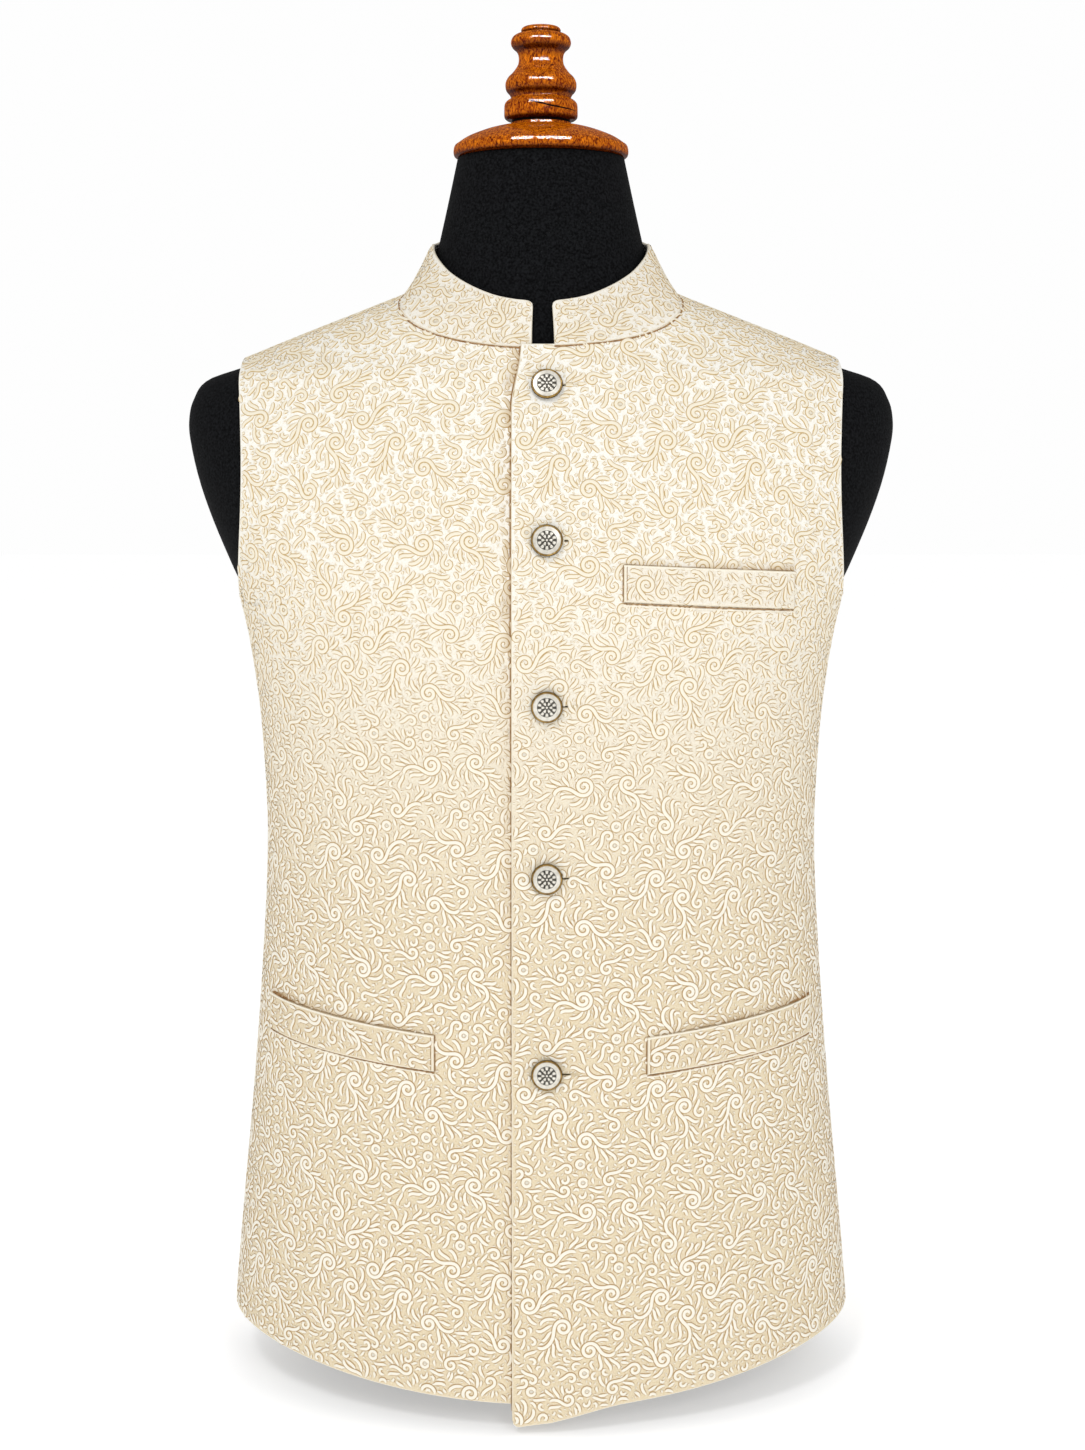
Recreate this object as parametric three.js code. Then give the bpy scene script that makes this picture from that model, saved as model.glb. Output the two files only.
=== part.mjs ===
// A sleeveless stand-collar waistcoat on a limbless dress form. Millimetres, +Z up, front towards -Y.
// The origin is on the surface that the form stands on, under the middle of its neck.
// The cloth follows one "skin": horizontal sections that a table gives at each height. The dress form
// is that skin moved in, and each cloth panel is that skin moved out, so the two never touch.
import * as THREE from "three";

// Cloth
const CLOTH_THICKNESS = 2;
const SHOULDER_GAP = 1.4;
const SEAM_GAP = 0.3;
const WELT_THICKNESS = 1.6;

// Heights of the garment
const HEM_SIDE = 43;
const HEM_FRONT_LEFT = 17;
const HEM_FRONT_RIGHT = 20;
const HEM_BACK = 30;
const HEM_POWER = 2.5;
const LAP_CORNER_DROP = 12;
const LAP_DROP_REACH = 75;
const CORNER_RADIUS = 5;
const NECK_SIDE = 756;
const NECK_FRONT_DIP = 38;
const NECK_BACK_RISE = 9;
const NECK_FRONT_REACH = 80;
const NECK_BACK_REACH = 72;
const NECK_DIP_POWER = 1.8;

// Armholes: lowest and highest point, and how far out the cloth's edge lies
const ARMPIT = 551;
const SHOULDER_TIP = 707.6;
const ARM_EDGE_BOTTOM = 203.5;
const ARM_EDGE_TOP = 201;
const ARM_EDGE_BOW = 6;

// Front opening: the left front laps over the right one
const LAP_EDGE = -19;
const LAP_EDGE_AT_NECK = -13;
const LAP_EDGE_CURVE = 42;
const UNDERLAP_EDGE = 20;
const LAP_LIFT = CLOTH_THICKNESS + 0.7;
const LAP_FLAT_TO = 26;
const LAP_BLEND_TO = 80;

// Stand collar
const COLLAR_THICKNESS = 2.2;
const COLLAR_PROUD = 0.5;
const COLLAR_RAISED = 0.8;
const COLLAR_CLEAR = 2.4;
const COLLAR_TOP_SIDE = 790.6;
const COLLAR_TOP_DIP = 42.6;
const COLLAR_TOP_RISE = 16;
const COLLAR_TOP_REACH_FRONT = 66;
const COLLAR_TOP_REACH_BACK = 64;
const COLLAR_DIP_POWER = 1.3;
const COLLAR_ROWS = 4;
const COLLAR_COLUMNS = 36;
const COLLAR_CORNER = 4;
const COLLAR_LENGTH = 450;
const COLLAR_END_STRIPS = [0, 0.0025, 0.006, 0.012];
const COLLAR_END = { leftBottom: 8.4, leftTop: 10.4, rightBottom: -5.6, rightTop: -7.4 };

// Buttons and the heights of their middles
const BUTTON_RADIUS = 10.3;
const BUTTON_HEIGHTS = [689.4, 592.4, 487.2, 374.2, 244.6];
const BUTTON_X = 3.8;

// Dress form
const FORM_ROUNDING = 50;
const FORM_BASE_SHARE = 0.7;
const FORM_NECK_TOP = 846.5;
const CAP_RADIUS = 59.4;
const CAP_BOTTOM = FORM_NECK_TOP + SEAM_GAP;
const FINIAL_BOTTOM = 870.3;

// How finely curved things are divided
const ARC_SAMPLES = 120;
const FORM_COLUMNS = 44;
const CAP_SIDES = 36;
const FINIAL_SIDES = 24;
const BUTTON_SIDES = 18;

// The skin's sections. squareness is the exponent of the superellipse, 2 being an ellipse, and formInset
// is how far the dress form lies inside the skin there.
const SECTION_COLUMNS = ["height", "halfWidth", "frontDepth", "backDepth", "squareness", "formInset"];
const SECTIONS = [
  [0, 220, 134, 129, 2, 38],
  [45, 216.7, 132.5, 127, 2, 35],
  [115, 210, 130, 122, 2.05, 28.5],
  [200, 201.3, 126.5, 114, 2.1, 14],
  [290, 193.5, 123, 107, 2.15, 6],
  [377, 188.3, 120, 103.5, 2.2, 4.5],
  [434, 189.3, 120, 106, 2.25, 4],
  [490, 193.6, 122, 111, 2.3, 2.5],
  [546, 203.2, 124, 116, 2.35, 1],
  [575, 214.4, 123, 118, 2.35, 0],
  [602, 225.7, 120, 118, 2.3, 0],
  [630, 235.2, 114.5, 116, 2.25, 0],
  [657, 241.2, 106.5, 112.5, 2.2, 0],
  [671, 241.9, 101.5, 110, 2.15, 0],
  [684.6, 239.5, 96, 106.5, 2.1, 0.8],
  [698.2, 231.8, 90.5, 102.5, 2.05, 3.5],
  [708.2, 204.8, 85.4, 98, 2, 5],
  [723.6, 166.4, 78.6, 91.5, 2, 1.6],
  [734.5, 138.2, 73.2, 86.5, 2, 1.2],
  [745.2, 110.6, 67.6, 81, 2, 1.1],
  [756, 85, 63, 75.5, 2, 1.1],
  [771, 74.4, 60.2, 69, 2, 0.6],
  [787, 70, 58, 64, 2, 0],
  [819, 62.6, 56.4, 59.5, 2, 0],
  [850, 55.8, 54, 55, 2, 0],
].map((row) => Object.fromEntries(row.map((value, i) => [SECTION_COLUMNS[i], value])));

const mix = (a, b, t) => a + (b - a) * t;
const clamp = (t) => Math.min(1, Math.max(0, t));
const ease = (t) => clamp(t) ** 2 * (3 - 2 * clamp(t));

// A section's sizes at any height: a cubic through the table's rows.
function sectionAt(height) {
  const z = Math.min(Math.max(height, SECTIONS[0].height), SECTIONS.at(-1).height);
  let i = 0;
  while (i < SECTIONS.length - 2 && SECTIONS[i + 1].height < z) i += 1;
  const [before, low, high, after] = [-1, 0, 1, 2].map(
    (k) => SECTIONS[Math.min(Math.max(i + k, 0), SECTIONS.length - 1)],
  );
  const span = high.height - low.height;
  const t = (z - low.height) / span;
  const slope = (from, to, key) => ((to[key] - from[key]) / (to.height - from.height)) * span;
  const at = (key) => {
    const p = low[key];
    const q = high[key];
    const m = slope(before, high, key);
    const n = slope(low, after, key);
    return (
      (2 * t ** 3 - 3 * t ** 2 + 1) * p +
      (t ** 3 - 2 * t ** 2 + t) * m +
      (3 * t ** 2 - 2 * t ** 3) * q +
      (t ** 3 - t ** 2) * n
    );
  };
  return Object.fromEntries(SECTION_COLUMNS.map((key) => [key, at(key)]));
}

// A quarter of a superellipse as [x, depth] pairs with the length run so far, from the middle to the side.
const quarters = new Map();
function quarter(halfWidth, depth, squareness) {
  const key = `${halfWidth} ${depth} ${squareness}`;
  if (quarters.has(key)) return quarters.get(key);
  const points = [];
  let run = 0;
  for (let i = 0; i <= ARC_SAMPLES; i += 1) {
    const angle = (Math.PI / 2) * (i / ARC_SAMPLES);
    const x = halfWidth * Math.abs(Math.sin(angle)) ** (2 / squareness);
    const y = depth * Math.abs(Math.cos(angle)) ** (2 / squareness);
    if (i > 0) run += Math.hypot(x - points.at(-1).x, y - points.at(-1).y);
    points.push({ x, y: i === ARC_SAMPLES ? 0 : y, run });
  }
  quarters.set(key, points);
  return points;
}

// A point at a share of that quarter's length.
function alongQuarter(points, share) {
  const run = share * points.at(-1).run;
  let low = 0;
  let high = points.length - 1;
  while (high - low > 1) {
    const middle = (low + high) >> 1;
    if (points[middle].run <= run) low = middle;
    else high = middle;
  }
  const t = (run - points[low].run) / (points[high].run - points[low].run);
  return [mix(points[low].x, points[high].x, t), mix(points[low].y, points[high].y, t)];
}

// The skin at a turn and a height. turn is 0 at the middle of the front, 1 at the wearer's left side (+X),
// 2 at the middle of the back, -1 at the right side, and goes round every 4.
function skin(turn, height, inset = 0, scale = 1) {
  const s = sectionAt(height);
  const wrapped = ((((turn + 2) % 4) + 4) % 4) - 2;
  const isFront = Math.abs(wrapped) <= 1;
  const depth = (isFront ? s.frontDepth : s.backDepth) - inset;
  const share = isFront ? Math.abs(wrapped) : 2 - Math.abs(wrapped);
  const points = quarter((s.halfWidth - inset) * scale, depth * scale, s.squareness);
  const [x, y] = alongQuarter(points, share);
  return new THREE.Vector3(Math.sign(wrapped) * x, isFront ? -y : y, height);
}

// The skin's outward direction, from two short steps across it.
const STEP_TURN = 0.012;
const STEP_HEIGHT = 1.5;
function outward(turn, height) {
  const across = skin(turn + STEP_TURN, height).sub(skin(turn - STEP_TURN, height));
  const up = skin(turn, height + STEP_HEIGHT).sub(skin(turn, height - STEP_HEIGHT));
  return across.cross(up).normalize();
}

const offSkin = (turn, height, distance) =>
  skin(turn, height).addScaledVector(outward(turn, height), distance);

// Finds the argument at which an increasing function passes a value.
function solve(f, value, low, high) {
  for (let i = 0; i < 26; i += 1) {
    const middle = (low + high) / 2;
    if (f(middle) < value) low = middle;
    else high = middle;
  }
  return (low + high) / 2;
}

// The seam between the body and the collar: it dips towards the front and rises a little at the nape.
function neckSeamAt(y) {
  return y < 0
    ? NECK_SIDE - NECK_FRONT_DIP * (-y / NECK_FRONT_REACH) ** NECK_DIP_POWER
    : NECK_SIDE + NECK_BACK_RISE * ease(y / NECK_BACK_REACH);
}
const neckSeams = new Map();
function neckSeam(turn) {
  if (!neckSeams.has(turn)) {
    neckSeams.set(turn, solve((z) => z - neckSeamAt(skin(turn, z).y), 0, 690, 790));
  }
  return neckSeams.get(turn);
}

// The hem: lowest at the middle of the front, and the left front's corner hangs lower still.
function hem(turn, isLeft) {
  const { x, y } = skin(turn, HEM_SIDE);
  const depth = y < 0 ? sectionAt(HEM_SIDE).frontDepth : sectionAt(HEM_SIDE).backDepth;
  const low = y >= 0 ? HEM_BACK : isLeft ? HEM_FRONT_LEFT : HEM_FRONT_RIGHT;
  const drop = isLeft ? LAP_CORNER_DROP * (1 - ease((x - LAP_EDGE) / LAP_DROP_REACH)) : 0;
  return mix(HEM_SIDE, low, Math.abs(y / depth) ** HEM_POWER) - drop;
}

// Rows of the panels, by their height at the side. They crowd where the armhole turns.
const ROW_HEIGHTS = [
  HEM_SIDE, 90, 140, 190, 232, 262, 292, 340, 390, 435, 475, 510, 535, 549, ARMPIT + 1, 556, 564, 580,
  605, 632, 658, 680, 693, 700, 704, SHOULDER_TIP, 713, 722, 733, 745, NECK_SIDE,
];
const HEM_SHARE = 0.4;
const NECK_SHARE = 0.5;
function rowHeight(turn, row, isLeft) {
  const v = (ROW_HEIGHTS[row] - HEM_SIDE) / (NECK_SIDE - HEM_SIDE);
  const byHem = clamp(1 - v / HEM_SHARE) ** 1.4;
  const byNeck = clamp((v - NECK_SHARE) / (1 - NECK_SHARE)) ** 1.4;
  return (
    ROW_HEIGHTS[row] +
    (hem(turn, isLeft) - HEM_SIDE) * byHem +
    (neckSeam(turn) - NECK_SIDE) * byNeck
  );
}

// How far round a panel reaches at a row: to the side and shoulder seams, or to the armhole's edge.
const armEdge = (height) => {
  const t = clamp((height - ARMPIT) / (SHOULDER_TIP - ARMPIT));
  return mix(ARM_EDGE_BOTTOM, ARM_EDGE_TOP, t) - ARM_EDGE_BOW * Math.sin(Math.PI * t);
};
function reach(row, isFront) {
  const seam = SEAM_GAP / 2 / sectionAt(ROW_HEIGHTS[row]).halfWidth;
  if (ROW_HEIGHTS[row] <= ARMPIT || ROW_HEIGHTS[row] >= SHOULDER_TIP) return 1 - seam;
  const xAt = (share) => {
    const turn = isFront ? share : 2 - share;
    return skin(turn, rowHeight(turn, row)).x - armEdge(rowHeight(turn, row));
  };
  return Math.min(1 - seam, solve(xAt, 0, 0.3, 1));
}

// Moves evenly spaced columns towards the side, where the body turns fastest.
const CROWDING = 0.42;
const crowd = (t) => t + CROWDING * t * (1 - t);

// Extra lift of the left front where it lies on the right one.
const lapLift = (x) => LAP_LIFT * (1 - ease((x - LAP_FLAT_TO) / (LAP_BLEND_TO - LAP_FLAT_TO)));

// The turn at which the skin has a given x, near the middle of the front.
const turnAtX = (x, height) => Math.sign(x) * solve((t) => skin(t, height).x, Math.abs(x), 0, 1);

// A wall between two grids of points, closed round its edges, with its faces outward.
function wall(outer, inner) {
  const rows = outer.length;
  const columns = outer[0].length;
  const points = [...outer.flat(), ...inner.flat()];
  const at = (r, c, isInner) => (isInner ? rows * columns : 0) + r * columns + c;
  const faces = [];
  const quad = (a, b, c, d) => faces.push([a, b, c], [a, c, d]);
  for (let r = 0; r < rows - 1; r += 1) {
    for (let c = 0; c < columns - 1; c += 1) {
      quad(at(r, c), at(r, c + 1), at(r + 1, c + 1), at(r + 1, c));
      quad(at(r, c, true), at(r + 1, c, true), at(r + 1, c + 1, true), at(r, c + 1, true));
    }
    quad(at(r, 0), at(r + 1, 0), at(r + 1, 0, true), at(r, 0, true));
    const last = columns - 1;
    quad(at(r, last), at(r, last, true), at(r + 1, last, true), at(r + 1, last));
  }
  for (let c = 0; c < columns - 1; c += 1) {
    quad(at(0, c), at(0, c, true), at(0, c + 1, true), at(0, c + 1));
    const top = rows - 1;
    quad(at(top, c), at(top, c + 1), at(top, c + 1, true), at(top, c, true));
  }
  return closedGeometry(points, faces);
}

// A geometry from points and triangles, turned inside out if its volume comes out negative.
function closedGeometry(points, faces) {
  const volume = faces.reduce(
    (sum, [a, b, c]) => sum + points[a].dot(points[b].clone().cross(points[c])),
    0,
  );
  const ordered = volume < 0 ? faces.map(([a, b, c]) => [a, c, b]) : faces;
  const geometry = new THREE.BufferGeometry();
  geometry.setAttribute("position", new THREE.Float32BufferAttribute(points.flatMap((p) => p.toArray()), 3));
  geometry.setIndex(ordered.flat());
  return geometry;
}

const brocade = new THREE.MeshStandardMaterial({ color: "#eee2c6", roughness: 0.75, metalness: 0 });
function cloth(name, geometry) {
  const mesh = new THREE.Mesh(geometry, brocade);
  mesh.name = name;
  return mesh;
}

// The fronts. Each runs from its own opening edge to the side seam, armhole and shoulder seam.
const FRONT_COLUMNS = 14;
const FRONT_EDGE_STRIPS = [0, 0.005, 0.012, 0.03];
const lapEdge = (height) =>
  mix(LAP_EDGE_AT_NECK, LAP_EDGE, ease((neckSeam(0) - height) / LAP_EDGE_CURVE));

// How far a rounded corner lifts the hem at a distance from the edge.
const cornerLift = (distance, radius) =>
  distance >= radius ? 0 : radius - Math.sqrt(radius ** 2 - (radius - distance) ** 2);

function front(isLeft) {
  const side = isLeft ? 1 : -1;
  const outer = [];
  const inner = [];
  ROW_HEIGHTS.forEach((_, row) => {
    const middle = rowHeight(0, row, isLeft);
    const start = turnAtX(isLeft ? lapEdge(middle) : UNDERLAP_EDGE, middle);
    const end = side * reach(row, true);
    // the first strips are narrow, for the rounded corner
    const shares = [...FRONT_EDGE_STRIPS];
    for (let c = 1; c < FRONT_COLUMNS; c += 1) {
      shares.push(mix(FRONT_EDGE_STRIPS.at(-1), 1, crowd(c / (FRONT_COLUMNS - 1))));
    }
    const points = shares.map((share) => {
      const turn = mix(start, end, share);
      let height = rowHeight(turn, row, isLeft);
      if (row === 0 && isLeft) {
        const fromEdge = Math.abs(skin(turn, height).x - skin(start, height).x);
        height += cornerLift(fromEdge, CORNER_RADIUS);
      }
      const lift = SHOULDER_GAP + (isLeft ? lapLift(skin(turn, height).x) : 0);
      return [offSkin(turn, height, lift + CLOTH_THICKNESS), offSkin(turn, height, lift)];
    });
    outer.push(points.map((p) => p[0]));
    inner.push(points.map((p) => p[1]));
  });
  return cloth(isLeft ? "front_left" : "front_right", wall(outer, inner));
}

// The back, in two halves that a seam down the middle joins.
const BACK_COLUMNS = 12;
function back(isLeft) {
  const side = isLeft ? -1 : 1;
  const outer = [];
  const inner = [];
  ROW_HEIGHTS.forEach((rowLevel, row) => {
    const start = SEAM_GAP / 2 / sectionAt(rowLevel).halfWidth;
    const end = reach(row, false);
    const points = Array.from({ length: BACK_COLUMNS + 1 }, (_, c) => {
      const turn = 2 + side * mix(start, end, crowd(c / BACK_COLUMNS));
      const height = rowHeight(turn, row);
      return [
        offSkin(turn, height, SHOULDER_GAP + CLOTH_THICKNESS),
        offSkin(turn, height, SHOULDER_GAP),
      ];
    });
    outer.push(points.map((p) => p[0]));
    inner.push(points.map((p) => p[1]));
  });
  return cloth(isLeft ? "back_left" : "back_right", wall(outer, inner));
}

// The collar: a band that stands on the neck seam and leans in to the neck.
function collarTopAt(y) {
  return y < 0
    ? COLLAR_TOP_SIDE - COLLAR_TOP_DIP * (-y / COLLAR_TOP_REACH_FRONT) ** COLLAR_DIP_POWER
    : COLLAR_TOP_SIDE + COLLAR_TOP_RISE * ease(y / COLLAR_TOP_REACH_BACK);
}
function collarTop(turn) {
  const height = solve((z) => z - collarTopAt(skin(turn, z).y), 0, 730, 830);
  const at = skin(turn, height);
  const level = new THREE.Vector3(at.x, at.y, 0).normalize();
  return at.addScaledVector(level, COLLAR_CLEAR + COLLAR_THICKNESS);
}
function collarBottom(turn) {
  const height = neckSeam(turn) + COLLAR_RAISED;
  const { x } = skin(turn, height);
  const onLeft = x > 0 && skin(turn, height).y < 0;
  const lift = onLeft ? lapLift(x) : 0;
  return offSkin(turn, height, SHOULDER_GAP + CLOTH_THICKNESS + COLLAR_PROUD + lift);
}
function collar() {
  const turnOf = (x) => turnAtX(x, neckSeam(0));
  const ends = {
    start: [turnOf(COLLAR_END.leftBottom), turnOf(COLLAR_END.leftTop)],
    stop: [4 + turnOf(COLLAR_END.rightBottom), 4 + turnOf(COLLAR_END.rightTop)],
  };
  // strips at each end are narrow, for the rounded corners
  const plain = COLLAR_END_STRIPS.at(-1);
  const shares = [...COLLAR_END_STRIPS];
  for (let c = 1; c < COLLAR_COLUMNS; c += 1) shares.push(mix(plain, 1 - plain, c / COLLAR_COLUMNS));
  shares.push(...COLLAR_END_STRIPS.map((share) => 1 - share).reverse());
  const grid = [];
  for (let r = 0; r < COLLAR_ROWS; r += 1) {
    const up = r / (COLLAR_ROWS - 1);
    grid.push(
      shares.map((share) => {
        const turn = mix(mix(ends.start[0], ends.start[1], up), mix(ends.stop[0], ends.stop[1], up), share);
        const round = cornerLift(Math.min(share, 1 - share) * COLLAR_LENGTH, COLLAR_CORNER);
        const bottom = collarBottom(turn);
        const top = collarTop(turn);
        return bottom.lerp(top, up * (1 - round / bottom.distanceTo(top)));
      }),
    );
  }
  // the inner face is moved in along each point's own direction
  const inner = grid.map((row, r) =>
    row.map((point, c) => {
      const along = row[Math.min(c + 1, row.length - 1)].clone().sub(row[Math.max(c - 1, 0)]);
      const up = grid[Math.min(r + 1, COLLAR_ROWS - 1)][c].clone().sub(grid[Math.max(r - 1, 0)][c]);
      return point.clone().addScaledVector(along.cross(up).normalize(), -COLLAR_THICKNESS);
    }),
  );
  return cloth("collar", wall(grid, inner));
}

// Welts: bands that lie on the fronts. Corners are [x, height], from the bottom inner one round.
const WELTS = {
  welt_pocket_right: { x: [-69.5, -182.8], bottom: [244.1, 254.8], top: [268.2, 279.6] },
  welt_pocket_left: { x: [69.2, 181.6], bottom: [242.1, 252.4], top: [267, 278] },
  welt_chest: { x: [52.4, 163.5], bottom: [554, 547.6], top: [577.4, 572.2] },
};
const WELT_COLUMNS = 13;
const WELT_ROWS = 4;
function welt(name) {
  const { x, bottom, top } = WELTS[name];
  const outer = [];
  const inner = [];
  for (let r = 0; r < WELT_ROWS; r += 1) {
    const up = r / (WELT_ROWS - 1);
    const points = Array.from({ length: WELT_COLUMNS }, (_, c) => {
      const t = c / (WELT_COLUMNS - 1);
      const height = mix(mix(bottom[0], bottom[1], t), mix(top[0], top[1], t), up);
      const turn = mix(turnAtX(x[0], height), turnAtX(x[1], height), t);
      const across = skin(turn, height).x;
      const lift = SHOULDER_GAP + CLOTH_THICKNESS + SEAM_GAP + (across > 0 ? lapLift(across) : 0);
      return [offSkin(turn, height, lift + WELT_THICKNESS), offSkin(turn, height, lift)];
    });
    outer.push(points.map((p) => p[0]));
    inner.push(points.map((p) => p[1]));
  }
  return cloth(name, wall(outer, inner));
}

// A turned solid from [radius, height] pairs that start and end on the axis.
function turned(name, profile, sides, material) {
  const points = profile.map(([r, h]) => new THREE.Vector2(r, h));
  const geometry = new THREE.LatheGeometry(points, sides).rotateX(Math.PI / 2);
  const mesh = new THREE.Mesh(geometry, material);
  mesh.name = name;
  return mesh;
}

// Shank buttons: a cupped metal rim round a shallow domed face.
const BUTTON_PROFILE = [
  [0, 0],
  [3, 0],
  [3, 1.2],
  [8.4, 1.5],
  [BUTTON_RADIUS, 2.6],
  [BUTTON_RADIUS - 0.2, 3.6],
  [BUTTON_RADIUS - 1, 4],
  [BUTTON_RADIUS - 1.6, 3.7],
  [5, 4.1],
  [0, 4.3],
];
function button(index) {
  const metal = new THREE.MeshStandardMaterial({ color: "#cfc8b8", roughness: 0.3, metalness: 0.6 });
  const mesh = turned(`button_${index + 1}`, BUTTON_PROFILE, BUTTON_SIDES, metal);
  const height = BUTTON_HEIGHTS[index];
  const turn = turnAtX(BUTTON_X, height);
  const lift = SHOULDER_GAP + CLOTH_THICKNESS + LAP_LIFT + SEAM_GAP;
  mesh.quaternion.setFromUnitVectors(new THREE.Vector3(0, 0, 1), outward(turn, height));
  mesh.position.copy(offSkin(turn, height, lift));
  return mesh;
}

// The dress form: one closed body with a rounded lower edge, a flat underside and a neck.
const FORM_HEIGHTS = [
  0, 3, 10, 22, FORM_ROUNDING, 120, 200, 290, 377, 434, 485, 525, 555, 580, 605, 630, 648, 662, 674, 684,
  691, 697, 702, 707, 715, 725, 736, 746, 756, 764, 775, 790, 810, 830, FORM_NECK_TOP,
];
function dressForm() {
  const ring = (height) => {
    const below = clamp((FORM_ROUNDING - height) / FORM_ROUNDING);
    const scale = mix(FORM_BASE_SHARE, 1, Math.sqrt(1 - below ** 2));
    return Array.from({ length: FORM_COLUMNS }, (_, c) =>
      skin((c / FORM_COLUMNS) * 4, height, sectionAt(height).formInset, scale),
    );
  };
  const rings = FORM_HEIGHTS.map(ring);
  const points = rings.flat();
  const faces = [];
  for (let r = 0; r < rings.length - 1; r += 1) {
    for (let c = 0; c < FORM_COLUMNS; c += 1) {
      const next = (c + 1) % FORM_COLUMNS;
      const [a, b] = [r * FORM_COLUMNS + c, r * FORM_COLUMNS + next];
      faces.push([a, b, b + FORM_COLUMNS], [a, b + FORM_COLUMNS, a + FORM_COLUMNS]);
    }
  }
  const top = (rings.length - 1) * FORM_COLUMNS;
  const bottomMiddle = points.push(new THREE.Vector3(0, 0, 0)) - 1;
  const topMiddle = points.push(new THREE.Vector3(0, 0, FORM_NECK_TOP)) - 1;
  for (let c = 0; c < FORM_COLUMNS; c += 1) {
    const next = (c + 1) % FORM_COLUMNS;
    faces.push([bottomMiddle, next, c], [topMiddle, top + c, top + next]);
  }
  const black = new THREE.MeshStandardMaterial({ color: "#121214", roughness: 0.8, metalness: 0 });
  const mesh = new THREE.Mesh(closedGeometry(points, faces), black);
  mesh.name = "dress_form";
  return mesh;
}

// The turned wood on the neck: a domed cap, and a finial of two beads on a base ring.
const wood = new THREE.MeshStandardMaterial({ color: "#a24a12", roughness: 0.25, metalness: 0 });
const CAP_PROFILE = [
  [0, 0],
  [CAP_RADIUS - 3, 0],
  [CAP_RADIUS - 0.7, 1.2],
  [CAP_RADIUS, 4],
  [CAP_RADIUS - 0.7, 7.6],
  [CAP_RADIUS - 2.6, 9.2],
  [52, 12.4],
  [46.4, 15],
  [37.6, 18.2],
  [28.7, 20.4],
  [20.6, 21.4],
  [20.4, 23.2],
  [0, 23.2],
];
const FINIAL_PROFILE = [
  [0, 0],
  [21, 0],
  [21, 1.2],
  [23.6, 1.4],
  [24.7, 3.2],
  [24.9, 7],
  [24.6, 12],
  [22.8, 14.4],
  [20, 16],
  [21.2, 18.4],
  [23.4, 21],
  [24.1, 24.5],
  [23.6, 27.4],
  [21.9, 30.2],
  [19.2, 32.8],
  [15.9, 37.4],
  [15, 41],
  [15.3, 44.6],
  [16.6, 47],
  [19.2, 49.4],
  [20.3, 52.4],
  [19.2, 56],
  [16.2, 58.1],
  [12.4, 58.9],
  [13.4, 60.6],
  [12.2, 62.5],
  [9, 63.3],
  [0, 63.5],
];
function onNeck(name, profile, sides, height) {
  const mesh = turned(name, profile, sides, wood);
  mesh.position.z = height;
  return mesh;
}

const waistcoat = new THREE.Group();
waistcoat.add(front(false), front(true), back(false), back(true), collar());
waistcoat.add(...Object.keys(WELTS).map(welt));
waistcoat.add(...BUTTON_HEIGHTS.map((_, i) => button(i)));

const stand = new THREE.Group();
stand.add(
  dressForm(),
  onNeck("neck_cap", CAP_PROFILE, CAP_SIDES, CAP_BOTTOM),
  onNeck("neck_finial", FINIAL_PROFILE, FINIAL_SIDES, FINIAL_BOTTOM),
);

const displayedWaistcoat = new THREE.Group();
displayedWaistcoat.add(waistcoat, stand);
export default displayedWaistcoat;
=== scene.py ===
# The looks of a brocade waistcoat with a stand collar, buttoned on a limbless dress form.
# Sizes in this file are millimetres until a mesh is made, and Blender's own are metres.

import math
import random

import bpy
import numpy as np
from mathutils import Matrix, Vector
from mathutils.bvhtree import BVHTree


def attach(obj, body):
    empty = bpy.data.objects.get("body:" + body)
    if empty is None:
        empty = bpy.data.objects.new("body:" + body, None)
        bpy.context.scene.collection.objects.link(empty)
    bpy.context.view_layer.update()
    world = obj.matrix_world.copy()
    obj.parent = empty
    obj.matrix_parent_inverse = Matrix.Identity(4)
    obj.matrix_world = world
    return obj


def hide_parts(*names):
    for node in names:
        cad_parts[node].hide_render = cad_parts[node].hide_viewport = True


bl_info = {
    "name": "Brocade waistcoat on a dress form",
    "version": (1, 0, 0),
    "blender": (4, 5, 0),
    "location": "View3D > Sidebar > Waistcoat",
    "description": "Cloth with a raised scroll weave, shank buttons, a jersey form and turned wood",
    "category": "Add Mesh",
}

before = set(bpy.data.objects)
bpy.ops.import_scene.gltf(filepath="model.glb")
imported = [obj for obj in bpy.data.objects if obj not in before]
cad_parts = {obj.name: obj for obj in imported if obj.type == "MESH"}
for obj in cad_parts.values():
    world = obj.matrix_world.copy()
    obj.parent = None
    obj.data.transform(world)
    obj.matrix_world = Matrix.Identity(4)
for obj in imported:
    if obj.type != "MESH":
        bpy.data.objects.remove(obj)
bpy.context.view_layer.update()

MM = 0.001
BODY = "root"

# Cloth, as the solids have it
CLOTH_THICKNESS = 2.0
SHOULDER_GAP = 1.4
SEAM_GAP = 0.3
WELT_THICKNESS = 1.6
HEM_SIDE = 43.0
HEM_FRONT = {"left": 17.0, "right": 20.0}
HEM_BACK = 30.0
HEM_POWER = 2.5
LAP_CORNER_DROP = 12.0
LAP_DROP_REACH = 75.0
CORNER_RADIUS = 5.0
CORNER_FADE = 30.0
NECK_SIDE = 756.0
NECK_RIM = {
    "side": NECK_SIDE, "dip": 38.0, "rise": 9.0, "front_reach": 80.0, "back_reach": 72.0, "power": 1.8,
}
ARMPIT = 551.0
SHOULDER_TIP = 709.6
SHOULDER_ROLL = 704.0
ARM_EDGE_BOTTOM = 203.5
ARM_EDGE_TOP = 201.0
ARM_EDGE_BOW = 6.0
LAP_EDGE = -19.0
LAP_EDGE_AT_NECK = -13.0
LAP_EDGE_CURVE = 42.0
UNDERLAP_EDGE = 20.0
LAP_LIFT = CLOTH_THICKNESS + 0.7
LAP_FLAT_TO = 26.0
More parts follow.
